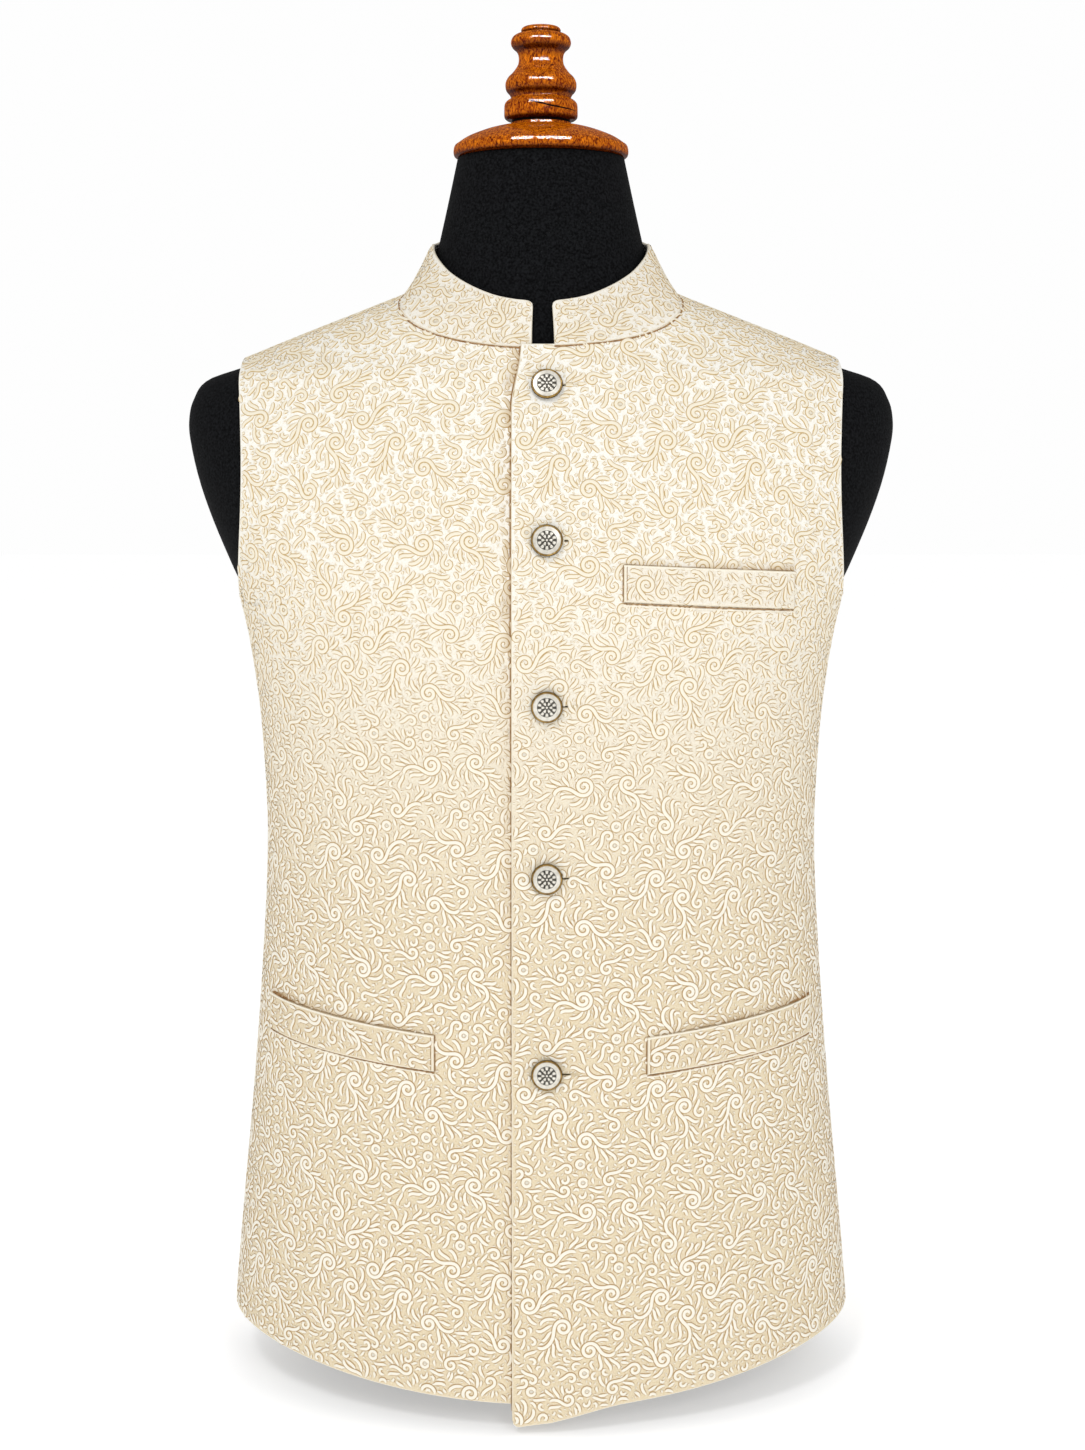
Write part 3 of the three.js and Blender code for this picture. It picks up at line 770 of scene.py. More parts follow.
def draw_scrolls():
    """One repeat's strokes as (points, thickness), from its largest volutes to its seeds, and its eyes."""
    s = Scrolls(SCROLL_SEED)
    pick = s.random

    def leafy(count, radii, arms, width, clear, pitch, leaf):
        for _ in range(count):
            stroke = s.volute(pick.uniform(*radii), pick.uniform(*arms), width, clear, pitch)
            if stroke:
                s.leaves(stroke, *leaf)

    def many(count, draw, **sizes):
        for _ in range(count):
            draw(**sizes)

    leafy(13, (4.4, 6.0), (16, 28), 1.08, 2.5, 2.8, (2.3, 12, 1.0))
    many(6, s.ring, radius=2.6, clear=2.3, width=1.0)
    leafy(24, (2.8, 4.2), (9, 16), 1.0, 2.4, 2.7, (2.25, 9, 0.95))
    many(30, s.echo, clear=2.2, most=2.6, longest=9, width=0.95)
    for _ in range(120):
        s.volute(pick.uniform(1.5, 2.6), pick.uniform(3, 9), 0.95, 2.2, 2.4, 10)
    many(160, s.comma, clear=2.15, width=0.95, shortest=4.5)
    many(260, s.comma, clear=2.05, width=0.92, shortest=2.4)
    many(60, s.echo, clear=2.0, most=2.8, longest=5, width=0.85)
    many(260, s.seed, clear=1.85, width=0.9, half_length=0.8)
    return [(thin_out(points), width) for points, width in s.strokes], [np.array(place) for place in s.eyes]


def thin_out(points):
    """Fewer points where a stroke runs straight, and all of them where it curls."""
    kept = [0]
    for k in range(1, len(points) - 1):
        last = points[kept[-1]]
        back = points[k] - last
        ahead = points[min(k + 1, len(points) - 1)] - points[k]
        bend = abs(math.atan2(back[0] * ahead[1] - back[1] * ahead[0], float(np.dot(back, ahead))))
        if math.hypot(*back) > 2.0 or bend > 0.2 and math.hypot(*back) > 0.8:
            kept.append(k)
    kept.append(len(points) - 1)
    return points[kept]


LINE_WIDTH = 3.4
LINE_ACROSS = np.array([-1.0, -0.46, 0.46, 1.0])
LINE_RISE = np.array([0.0, 1.0, 1.0, 0.0])
LINE_SINK = 0.06
TAPER_WIDTH = 0.4
TAPER_HEIGHT = 0.55
TAPER_LENGTH = 1.8
EYE_LIFT = 0.25
EYE_RADIUS = 2.0
EYE_CORNERS = 10
EYE_TURNS = np.linspace(0, 2 * math.pi, EYE_CORNERS, endpoint=False)
EYE_OUTLINE = EYE_RADIUS * np.array([(0, 0), *zip(np.cos(EYE_TURNS), np.sin(EYE_TURNS))])
EYE_FACES = np.array([(0, 1 + k, 1 + (k + 1) % EYE_CORNERS) for k in range(EYE_CORNERS)])


class PanelMap:
    """Carries points of a panel that is spread flat back to its outer side."""

    def __init__(self, outer, flat):
        rows, width = outer.shape[:2]
        quads = grid_faces(rows, width).reshape(rows - 1, width - 1, 4)[1:-1, 1:-1].reshape(-1, 4)
        self.tris = np.concatenate([quads[:, [0, 1, 2]], quads[:, [0, 2, 3]]])
        self.flat = flat.reshape(-1, 2)
        self.outer = outer.reshape(-1, 3)
        self.normals = grid_normals(outer).reshape(-1, 3)
        self.tree = BVHTree.FromPolygons(
            [(float(x), float(y), 0.0) for x, y in self.flat], [tuple(map(int, t)) for t in self.tris]
        )

    def place(self, line, covered):
        """The points on the panel's outer side, the directions off it, and whether each of them shows."""
        down = Vector((0, 0, -1))
        found = [self.tree.ray_cast(Vector((x, y, 1.0)), down, 2.0)[2] for x, y in line]
        found = np.array([-1 if index is None else index for index in found])
        tris = self.tris[found]
        a, b, c = self.flat[tris[:, 0]], self.flat[tris[:, 1]], self.flat[tris[:, 2]]
        e1, e2, d = b - a, c - a, line - a
        det = e1[:, 0] * e2[:, 1] - e1[:, 1] * e2[:, 0]
        det = np.where(np.abs(det) < 1e-9, 1e-9, det)
        s = ((d[:, 0] * e2[:, 1] - d[:, 1] * e2[:, 0]) / det)[:, None]
        t = ((e1[:, 0] * d[:, 1] - e1[:, 1] * d[:, 0]) / det)[:, None]

        def carried(values):
            return values[tris[:, 0]] * (1 - s - t) + values[tris[:, 1]] * s + values[tris[:, 2]] * t

        at = carried(self.outer)
        shown = found >= 0
        if covered:
            shown &= ~covered(at)
        return at, unit(carried(self.normals)), shown


def unbroken(shown):
    """Slices of the runs of true values that are at least two long."""
    turns = np.flatnonzero(np.diff(np.concatenate([[0], shown.astype(int), [0]])))
    return [slice(a, b) for a, b in zip(turns[::2], turns[1::2]) if b - a > 1]


def raised_line(at, up, thick, relief):
    """The points of one raised line, four across, tapering at its ends."""
    side = unit(np.cross(up, unit(np.gradient(at, axis=0))))
    run = run_along(at)
    from_end = np.minimum(run, run[-1] - run)
    taper = np.clip(TAPER_WIDTH + from_end / TAPER_LENGTH, TAPER_WIDTH, 1)[:, None]
    half = LINE_WIDTH / 2 * thick * taper
    lift = mix(-LINE_SINK, relief * mix(TAPER_HEIGHT, 1, taper), LINE_RISE)
    return at[:, None] + side[:, None] * (half * LINE_ACROSS)[..., None] + up[:, None] * lift[..., None]


def lay_scrolls(name, outer, flat, material, relief, tones, start, covered=None):
    """Raised lines of the weave on a panel: each stroke of the repeat, wherever the panel has room."""
    panel = PanelMap(outer, flat)
    tile = np.array(REPEAT)
    low, high = panel.flat.min(axis=0), panel.flat.max(axis=0)
    first = np.floor((low - start) / tile).astype(int) - 1
    last = np.ceil((high - start) / tile).astype(int) + 1
    # each part's points, faces, spread-flat places, rise and whether it is an eye
    parts = []
    for step in np.ndindex(*(last - first)):
        shift = start + (first + step) * tile
        for stroke, thick in STROKES:
            line = stroke + shift
            if (line.max(axis=0) < low).any() or (line.min(axis=0) > high).any():
                continue
            at, up, shown = panel.place(line, covered)
            for run in unbroken(shown):
                ridge = raised_line(at[run], up[run], thick, relief).reshape(-1, 3)
                faces = grid_faces(len(ridge) // 4, 4)[:, ::-1]
                rise = np.tile(LINE_RISE, len(ridge) // 4)
                parts.append((ridge, faces, np.repeat(line[run], 4, axis=0), rise, 0 * rise))
        for place in EYES:
            line = place + shift + EYE_OUTLINE
            at, up, shown = panel.place(line, covered)
            if shown.all():
                flags = np.ones(len(line))
                parts.append((at + up * relief * EYE_LIFT, EYE_FACES, line, flags, flags))
    points, faces, spread, rise, eye = zip(*parts)
    starts = np.cumsum([0, *map(len, points)])
    faces = [face for part, count in zip(faces, starts) for face in (part + count).tolist()]
    points = np.concatenate(points)
    obj = new_object(name, points, faces, material)
    add_attribute(obj, "rise", np.concatenate(rise))
    add_attribute(obj, "eye", np.concatenate(eye))
    add_tones(obj, tones, points)
    set_uv(obj, np.concatenate(spread) * MM)
    return obj


def ribbons(name, lines, material, rise=0.1, depth=0.6):
    """Thin closed strips along lines. A line is its points, the directions off the cloth, and half widths."""
    points, faces = [], []
    start = 0
    for line, out, half in lines:
        side = unit(np.cross(out, np.gradient(line, axis=0)))
        width = np.broadcast_to(half, len(line))[:, None]
        strip = np.stack([line - side * width, line + side * width]) + out * rise
        deep = strip - out * (rise + depth)
        columns = len(line)
        count = 2 * columns
        points += [strip.reshape(-1, 3), deep.reshape(-1, 3)]
        faces += [*grid_faces(2, columns, start), *grid_faces(2, columns, start + count)[:, ::-1]]
        ring = boundary(2, columns) + start
        for k, n in zip(ring, np.roll(ring, -1)):
            faces.append([n, k, count + k, count + n])
        start += 2 * count
    return new_object(name, np.concatenate(points), faces, material, smooth=False)


# Materials
def linear(hex_colour):
    """A node colour from an sRGB hex value."""
    channels = [int(hex_colour[k:k + 2], 16) / 255 for k in (1, 3, 5)]
    return tuple(c / 12.92 if c <= 0.04045 else ((c + 0.055) / 1.055) ** 2.4 for c in channels) + (1.0,)


def node(tree, kind, inputs=(), stops=(), **settings):
    """Adds a node. Inputs are (socket, output or value) pairs, and stops are a colour ramp's."""
    made = tree.nodes.new(kind)
    for key, value in settings.items():
        if hasattr(made, key) and key not in made.inputs:
            setattr(made, key, value)
        else:
            made.inputs[key].default_value = value
    for target, given in inputs:
        if isinstance(given, bpy.types.NodeSocket):
            tree.links.new(given, made.inputs[target])
        else:
            made.inputs[target].default_value = given
    if stops:
        elements = made.color_ramp.elements
        while len(elements) < len(stops):
            elements.new(0.5)
        for element, (place, colour) in zip(elements, stops):
            element.position = place
            element.color = linear(colour)
    return made


def new_material(name):
    material = bpy.data.materials.new(name)
    material.use_nodes = True
    tree = material.node_tree
    shader = tree.nodes["Principled BSDF"]
    return material, tree, shader


def per_metre(size):
    """A noise's scale, from the size of its grains in millimetres."""
    return 1 / (size * MM)


# The Mix node's sockets for colours, which share their names with those for numbers
MIX_SHARE, MIX_UNDER, MIX_OVER, MIX_RESULT = 0, 6, 7, 2


def laid_over(tree, under, attribute, over, blend_type="MIX"):
    """A colour with another laid over it, by the share that an attribute of the piece gives."""
    share = node(tree, "ShaderNodeAttribute", attribute_name=attribute).outputs["Fac"]
    mixed = node(tree, "ShaderNodeMix", [
        (MIX_SHARE, share), (MIX_UNDER, under), (MIX_OVER, over),
    ], data_type="RGBA", blend_type=blend_type)
    return mixed.outputs[MIX_RESULT]


def dress(tree, shader, colour, settings, height=None, bump=0.0, strength=0.3):
    """Gives a shader its colour, its constant settings and, where there is one, its bump."""
    if colour is not None:
        tree.links.new(colour, shader.inputs["Base Color"])
    for name, value in settings.items():
        shader.inputs[name].default_value = value
    if bump:
        made = node(tree, "ShaderNodeBump", [("Height", height)], Strength=strength, Distance=bump)
        tree.links.new(made.outputs["Normal"], shader.inputs["Normal"])


def brocade_material(colours, raised):
    """Cotton and silk brocade, woven: a beige ground that shows as a matt grain, with ivory raised lines."""
    name = "brocade_raised_line" if raised else "brocade_ground"
    if name in bpy.data.materials:
        return bpy.data.materials[name]
    material, tree, shader = new_material(name)
    uv = node(tree, "ShaderNodeUVMap", uv_map="spread").outputs["UV"]
    # threads 0.45 mm apart would not show, so the grain is drawn at about 1.1 mm
    scale = per_metre(1.111)
    grain = node(tree, "ShaderNodeTexNoise", [("Vector", uv)], Scale=scale, Detail=2.0).outputs["Fac"]
    if raised:
        blotch = node(tree, "ShaderNodeTexNoise", [("Vector", uv)], Scale=per_metre(6.25), Detail=3.0)
        rise = node(tree, "ShaderNodeAttribute", attribute_name="rise")
        uneven = node(tree, "ShaderNodeMath", [
            (0, blotch.outputs["Fac"]), (1, 0.16), (2, rise.outputs["Fac"]),
        ], operation="MULTIPLY_ADD")
        # the flat rounds get the eye colour, a painted reflection of their sheen
        source, mask, over = uneven.outputs[0], "eye", colours.eye
        # each raised line darkens from its crest to the groove colour at its foot: partly the weave's tan,
        # partly painted shade
        low = [(0.62, colours.groove), (0.84, colours.ridge), (1.0, colours.ridge_top)]
        high = [(0.62, colours.pale_groove), (0.9, colours.pale_ridge), (1.0, colours.ridge)]
    else:
        source, mask, over = grain, "clean_edge", colours.ridge
        low = [(0.3, colours.ground_dark), (0.62, colours.ground_light)]
        high = [(0.3, colours.pale_dark), (0.55, colours.pale_light)]
    under, pale = (node(tree, "ShaderNodeValToRGB", [("Fac", source)], stops) for stops in (low, high))
    colour = laid_over(tree, under.outputs["Color"], "pale", pale.outputs["Color"])
    colour = laid_over(tree, colour, mask, linear(over))
    # painted shade, from the piece's shade attribute
    colour = laid_over(tree, colour, "shade", linear(colours.shade), "MULTIPLY")
    dress(tree, shader, colour, {
        "Roughness": 0.7, "Specular IOR Level": 0.3, "IOR": 1.46,
        "Sheen Weight": 0.06, "Sheen Roughness": 0.4,
    }, grain, 0.0006, 0.35)
    return material


def grained_material(name, size, detail, stops, settings, bump=0.0):
    """A material whose colour, and bump if it has one, a fine noise makes. The size is its grains', in mm."""
    material, tree, shader = new_material(name)
    place = node(tree, "ShaderNodeTexCoord").outputs["Object"]
    grain = node(tree, "ShaderNodeTexNoise", [("Vector", place)], Scale=per_metre(size), Detail=detail)
    grain = grain.outputs["Fac"]
    colour = node(tree, "ShaderNodeValToRGB", [("Fac", grain)], stops).outputs["Color"]
    dress(tree, shader, colour, settings, grain, bump)
    return material


def plain_material(name, dark, light, roughness, size=1.111):
    """A matt surface in two close shades."""
    settings = {"Roughness": roughness, "Specular IOR Level": 0.1}
    return grained_material(name, size, 2.0, [(0.3, dark), (0.7, light)], settings)


def metal_material(name, shades, roughness, metallic, bump=0.0):
    """Cast and plated metal: a soft, slightly uneven gloss."""
    settings = {"Roughness": roughness, "Metallic": metallic}
    return grained_material(name, 2.381, 3.0, [(0.3, shades[0]), (0.7, shades[1])], settings, bump)


def seam_material(colours):
    """Painted shade in the gap at a seam: a dull brown that shows as a fine line."""
    return plain_material("seam_shade", colours.seam_dark, colours.seam_light, 0.95, 2.0)


def folded_edge_material(colours):
    """The weave where it folds over an edge: its ivory lines crowd into one pale line."""
    return plain_material("folded_edge", colours.ridge, colours.ridge_top, 0.7, 1.429)


def thread_material(colours):
    """Buttonhole twist, spun: ivory, with a dull gloss."""
    return plain_material("buttonhole_twist", colours.thread_dark, colours.thread_light, 0.6, 0.6667)


def jersey_material(colours):
    """Cotton jersey, knitted fine and dyed black: matt, with a fine grain."""
    stops = [(0.36, colours.jersey_dark), (0.66, colours.jersey_light)]
    settings = {"Roughness": 0.92, "Specular IOR Level": 0.08}
    # the knit's own 0.8 mm would not show, so it is drawn at about 1.5 mm
    return grained_material("jersey_black", 1.538, 3.0, stops, settings, 0.0004)


def wood_material(colours):
    """Hardwood, turned, stained red-brown and varnished: dark flecks along the grain under a gloss coat."""
    material, tree, shader = new_material("varnished_hardwood")
    place = node(tree, "ShaderNodeTexCoord").outputs["Object"]
    stretch = node(tree, "ShaderNodeMapping", [("Vector", place), ("Scale", (1.0, 1.0, 0.45))])
    place = stretch.outputs["Vector"]
    noise = "ShaderNodeTexNoise"
    flecks = node(tree, noise, [("Vector", place)], Scale=per_metre(1.111), Detail=3.0)
    rings = node(tree, noise, [("Vector", place)], Scale=per_metre(1.923), Detail=5.0, Distortion=1.8)
    uneven = node(tree, "ShaderNodeMath", [
        (0, flecks.outputs["Fac"]), (1, 0.45), (2, rings.outputs["Fac"]),
    ], operation="MULTIPLY_ADD")
    grain = node(tree, "ShaderNodeValToRGB", [("Fac", uneven.outputs[0])], [
        (0.5, colours.wood_dark), (0.64, colours.wood_middle), (0.86, colours.wood_light),
    ])
    # painted shade: the grain is darkened under each bead, where the surface faces down
    underside_shade = linear(colours.wood_underside_shade)
    colour = laid_over(tree, grain.outputs["Color"], "underside_shade", underside_shade, "MULTIPLY")
    dress(tree, shader, colour, {
        "Roughness": 0.6, "Specular IOR Level": 0.0, "Coat Weight": 0.15, "Coat Roughness": 0.05,
    })
    return material


# Settings that a user would change
def length(name, description, default):
    return bpy.props.FloatProperty(name=name, description=description, default=default, unit="LENGTH")


def hex_colour(name, description, default):
    return bpy.props.StringProperty(name=name, description=description, default=default)


class WaistcoatSizes(bpy.types.PropertyGroup):
    relief: length("Relief", "How far the woven lines stand up", 0.0006)
    # the seam line is a strip of painted shade; the welts' pale folds take their widths from it too
    seam: length("Seam line", "Half the width of the dark line along a seam", 0.00045)
    stitch: length("Stitch", "Length of one buttonhole stitch", 0.0012)


class WaistcoatColours(bpy.types.PropertyGroup):
    ground_dark: hex_colour("Ground, dark", "Beige ground", "#DDCAA4")
    ground_light: hex_colour("Ground, light", "Beige ground", "#EDE0C5")
    pale_dark: hex_colour("Pale ground, dark", "By the shoulders", "#F2EBDA")
    pale_light: hex_colour("Pale ground, light", "By the shoulders", "#FCFAF3")
    # the groove colours darken the foot of each raised line: partly the weave's tan, partly painted shade
    groove: hex_colour("Groove", "Beside each raised line", "#AF8C56")
    pale_groove: hex_colour("Pale groove", "Beside each raised line by the shoulders", "#C9AC76")
    pale_ridge: hex_colour("Pale ridge", "Raised line by the shoulders", "#EFE5CC")
    ridge: hex_colour("Ridge", "Raised line", "#F3EAD5")
    ridge_top: hex_colour("Ridge top", "Top of a raised line", "#F9F4E6")
    # the eye colour is a painted reflection: the flat rounds of smooth silk drawn grey, as their sheen shows
    eye: hex_colour("Eye", "Flat rounds in the weave", "#DED8CA")
    # painted shade beside the lap, the welts and the collar's seam, multiplied into the cloth's colour
    shade: hex_colour("Shade", "Tint of the cloth beside seams", "#BFA274")
    # the seam colours are painted shade, for the dark lines along the seams, the welts and the lap
    seam_dark: hex_colour("Seam, dark", "Line along a seam", "#86623A")
    seam_light: hex_colour("Seam, light", "Line along a seam", "#B8946A")
    jersey_dark: hex_colour("Jersey, dark", "Form cover", "#040405")
    jersey_light: hex_colour("Jersey, light", "Form cover", "#18191B")
    wood_dark: hex_colour("Wood, dark", "Grain", "#2B0C02")
    wood_middle: hex_colour("Wood, middle", "Grain", "#822F04")
    wood_light: hex_colour("Wood, light", "Grain", "#DE7A10")
    # the colour of the painted shade under each bead
    wood_underside_shade: hex_colour("Wood, pooled stain", "Under each bead", "#4A1A06")
    thread_dark: hex_colour("Thread, dark", "Twist", "#C9B68E")
    thread_light: hex_colour("Thread, light", "Twist", "#EFE3C6")


def finish_piece(obj, slot, *nodes):
    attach(obj, BODY)
    if nodes:
        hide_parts(*nodes)
    return obj


def welt_shares(place, at):
    """For points by a welt: their share of its length, and how far they lie under and over it."""
    t = (at[:, 0] - place["x"][0]) / (place["x"][1] - place["x"][0])
    return t, mix(*place["bottom"], t) - at[:, 2], at[:, 2] - mix(*place["top"], t)


def under_trim(at):
    """Whether points of a front lie well under a welt or a button."""
    hidden = np.zeros(len(at), bool)
    for place in WELTS.values():
        t, below, above = welt_shares(place, at)
        hidden |= (t > 0.01) & (t < 0.995) & (np.maximum(below, above) < -0.7)
    for height in BUTTON_HEIGHTS:
        hidden |= np.hypot(at[:, 0] - BUTTON_X, at[:, 2] - height) < BUTTON_RADIUS - 1
    return hidden & (at[:, 1] < 0)


def front_shade(at):
    """Soft shade on the fronts, from 0 to 1: beside the lap and round the welts."""
    shade = np.zeros(len(at))
    for place in WELTS.values():
        t, below, above = welt_shares(place, at)
        along = (t > -0.02) & (t < 1.02) & (at[:, 1] < 0)
        under = np.where(below > -1, np.clip(1 - below / WELT_SHADE_UNDER, 0, 1) * 0.3, 0)
        outwards = mix(0.2, 0.7, np.clip(t, 0, 1))
        over = np.where(above > -1, np.clip(1 - above / WELT_SHADE_OVER, 0, 1) * outwards, 0)
        shade = np.maximum(shade, np.where(along, np.maximum(under, over), 0))
    from_lap = lap_edge(at[:, 2]) - at[:, 0]
    strength = mix(0.2, 0.6, ease((at[:, 2] - 300) / 300))
    beside = np.clip(1 - from_lap / LAP_SHADE_WIDTH, 0, 1) * strength
    return np.maximum(shade, np.where((from_lap > 0) & (at[:, 1] < 0), beside, 0))


PALE_FROM = 280
PALE_OVER = 380
LAP_SHADE_WIDTH = 8
WELT_SHADE_UNDER = 3
WELT_SHADE_OVER = 5


def paleness(at):
    """The cloth looks paler towards the shoulders."""
    return ease((at[:, 2] - PALE_FROM) / PALE_OVER)


def front_tones(at):
    return paleness(at), front_shade(at)


def back_tones(at):
    return paleness(at), np.zeros(len(at))


def welt_tones(at):
    return 0.8 * paleness(at), np.full(len(at), 0.04)


def collar_tones(at):
    """The collar is less pale than the chest, with a little painted shade all over and more painted shade at
    its seam.
    """
    drop = NECK_RIM["dip"] * np.clip(-at[:, 1] / NECK_RIM["front_reach"], 0, None)
    over_seam = at[:, 2] - (NECK_SIDE - drop) + CLOTH_THICKNESS + COLLAR_OVERLAP
    return np.full(len(at), 0.9), 0.06 + 0.3 * np.clip(1 - over_seam / 9, 0, 1)


def make_panel(context, name, walls, flat, start, tones, covered=None):
    """One cut piece: its wall and its raised weave. Its area is worked out and not used."""
    outer, inner = walls
    colours, sizes = context.scene.waistcoat_colours, context.scene.waistcoat_sizes
    cloth = cloth_shell(f"{name}_cloth", outer, inner, flat, brocade_material(colours, False), tones)
    scrolls = lay_scrolls(
        f"{name}_scrolls", outer, flat, brocade_material(colours, True), sizes.relief / MM, tones,
        np.array(start), covered,
    )
    finish_piece(cloth, "brocade", name)
    finish_piece(scrolls, "brocade")
    grid_area(outer) * MM * MM


class CLOTH_OT_fronts(bpy.types.Operator):
    """Make the two fronts with their raised weave"""

    bl_idname = "waistcoat.fronts"
    bl_label = "Fronts"

    def execute(self, context):
        for side, start in {"left": (0.0, 12.0), "right": (31.0, 12.0)}.items():
            walls = panel_walls(front_grid(side), side == "right")
            make_panel(context, f"front_{side}", walls, flat_grid(walls[0]), start, front_tones, under_trim)
        return {"FINISHED"}


class CLOTH_OT_back(bpy.types.Operator):
    """Make the two halves of the back with their raised weave"""

    bl_idname = "waistcoat.back"
    bl_label = "Back"

    def execute(self, context):
        for side, start in {"left": (20.0, 40.0), "right": (75.0, 40.0)}.items():
            walls = panel_walls(back_grid(side), side == "left")
            make_panel(context, f"back_{side}", walls, flat_grid(walls[0]), start, back_tones)
        return {"FINISHED"}


class CLOTH_OT_collar(bpy.types.Operator):
    """Make the stand collar"""

    bl_idname = "waistcoat.collar"
    bl_label = "Collar"

    def execute(self, context):
        walls = collar_grids()
        make_panel(context, "collar", walls, band_flat(walls[0]), (7.0, 55.0), collar_tones)
        return {"FINISHED"}


def band_flat(outer):
    """A band spread flat: its length run along the middle row, and its height."""
    middle = outer[outer.shape[0] // 2]
    steps = np.linalg.norm(np.diff(outer, axis=0), axis=-1).mean(axis=1)
    up = np.concatenate([[0], np.cumsum(steps)])
    return np.stack(np.meshgrid(run_along(middle), up), axis=-1)


class CLOTH_OT_welts(bpy.types.Operator):
    """Make the pocket welts"""

    bl_idname = "waistcoat.welts"
    bl_label = "Welts"

    def execute(self, context):
        for number, name in enumerate(WELTS):
            walls = welt_grids(name)
            if WELTS[name]["x"][0] < 0:
                walls = [wall[:, ::-1] for wall in walls]
            start = (9.0 * number, 30.0 + 33.0 * number)
            make_panel(context, name, walls, band_flat(walls[0]), start, welt_tones)
        return {"FINISHED"}


def lifted(turns, heights, base, lift):
    """Points at a lift over the cloth, whose outer side is base off the skin, and the directions off it."""
    low, high = off_skin(turns, heights, base), off_skin(turns, heights, base + 1)
    return low + (high - low) * lift, unit(high - low)


def on_front(x, heights, lift):
    """Points off the fronts' outer side, and the directions off it. The right front's x is negative."""
    x, heights = np.broadcast_arrays(np.asarray(x, float), np.asarray(heights, float))
    base = SHOULDER_GAP + CLOTH_THICKNESS + np.where(x > 0, lap_lift(x), 0)
    return lifted(turn_at_x(x, heights), heights, base, lift)


SEAM_LIFT = 0.45
WELT_LIFT = SEAM_GAP + WELT_THICKNESS + 0.1


def collar_seam(half):
    """The painted shadow line under the collar's lower edge, from one end of the collar round the back to the
    other.
    """
    turns = np.linspace(*collar_ends("bottom"), 220)
    heights = neck_seam(turns) - COLLAR_OVERLAP - 0.4
    base = SHOULDER_GAP + CLOTH_THICKNESS + lift_on_left(skin(turns, heights))
    uneven = 1 + 0.2 * np.sin(turns * 41) * np.sin(turns * 17 + 1)
    return *lifted(turns, heights, base, SEAM_LIFT), half * uneven


def welt_sides(place):
    """Shares along a welt, the x of its length, the direction of its length, and its bottom and top."""
    t = np.linspace(0, 1, 40)
    x0, x1 = place["x"]
    return t, mix(x0, x1, t), np.sign(x1 - x0), mix(*place["bottom"], t), mix(*place["top"], t)


def welt_lines(half):
    """The painted shade lines round each welt: under it, at its ends and at its mouth, which gapes at its
    outer end.
    """
    for name, place in WELTS.items():
        t, x, way, bottom, top = welt_sides(place)
        yield *on_front(x, bottom - 0.9, 0.75), half * 0.65
        for end, side in ((0, -0.4), (-1, 0.4)):
            yield *on_front(x[end] + side * way, mix(bottom[end], top[end], t), SEAM_LIFT), half * 0.7
        yield *on_front(x[0] + 2 * way, mix(bottom[0] + 1, top[0] - 1, t), WELT_LIFT), half * 0.4
        gape = 0.2 if name == "welt_chest" else 0.12 + 2.2 * ease((t - 0.82) / 0.15)
        yield *on_front(x, top + 0.4, SEAM_LIFT), half * gape


def fold_lines(half):
    """The pale folded edges of each welt, along its mouth, its inner end and the cloth under it."""
    for place in WELTS.values():
        t, x, way, bottom, top = welt_sides(place)
        yield *on_front(x, top - 0.9, WELT_LIFT), half * 1.2
        yield *on_front(x[0] + way, mix(bottom[0] + 1, top[0] - 1, t), WELT_LIFT), half * 0.7
        yield *on_front(x, bottom - 2.2, 0.55), half * 0.9


def lap_line(half):
    """The painted shadow line beside the left front's edge, on the right front under it."""
    heights = np.linspace(16, float(neck_seam(np.array(0.0))) - 1, 160)
    points, out = on_front(lap_edge(heights) - 0.5, heights, SEAM_LIFT)
    return points, out, half * mix(0.4, 1.0, ease((heights - 250) / 350))


class CLOTH_OT_seam_lines(bpy.types.Operator):
    """Make the painted shade lines along the collar's seam, the welts and the lap"""

    bl_idname = "waistcoat.seam_lines"
    bl_label = "Seam lines"

    def execute(self, context):
        colours = context.scene.waistcoat_colours
        brown = seam_material(colours)
        half = context.scene.waistcoat_sizes.seam / MM
        groups = {"collar": [collar_seam(half)], "welts": welt_lines(half), "lap": [lap_line(half)]}
        for name, lines in groups.items():
            finish_piece(ribbons(f"seam_line_{name}", lines, brown), "brocade")
        folds = ribbons("welt_folds", fold_lines(half), folded_edge_material(colours))
        finish_piece(folds, "brocade")
        return {"FINISHED"}


def stacked(name, rings, low, high, material):
    """A closed piece of rings of points, lowest first, with its ends closed to points on the axis."""
    count, sides = rings.shape[:2]
    here = np.arange(sides)
    following = (here + 1) % sides
    faces = []
    for start in range(0, (count - 1) * sides, sides):
        lower, upper = (start + here, start + following), (start + sides + following, start + sides + here)
        faces += np.stack([*lower, *upper], axis=1).tolist()
    last, ends = (count - 1) * sides, count * sides
    for k, n in zip(here, following):
        faces += [[ends, n, k], [ends + 1, last + k, last + n]]
    points = np.concatenate([rings.reshape(-1, 3), [(0, 0, low), (0, 0, high)]])
    return new_object(name, points, faces, material)


def turned(name, profile, sides, material, height=0.0):
    """A turned piece from (radius, height) pairs that start and end on the axis."""
    angle = np.linspace(0, 2 * math.pi, sides, endpoint=False)
    circle = np.stack([np.cos(angle), np.sin(angle), np.zeros(sides)], axis=-1)
    radius, level = np.array(profile, float)[1:-1].T
    rings = circle * radius[:, None, None] + np.array([0, 0, 1]) * (level + height)[:, None, None]
    return stacked(name, rings, profile[0][1] + height, profile[-1][1] + height, material)


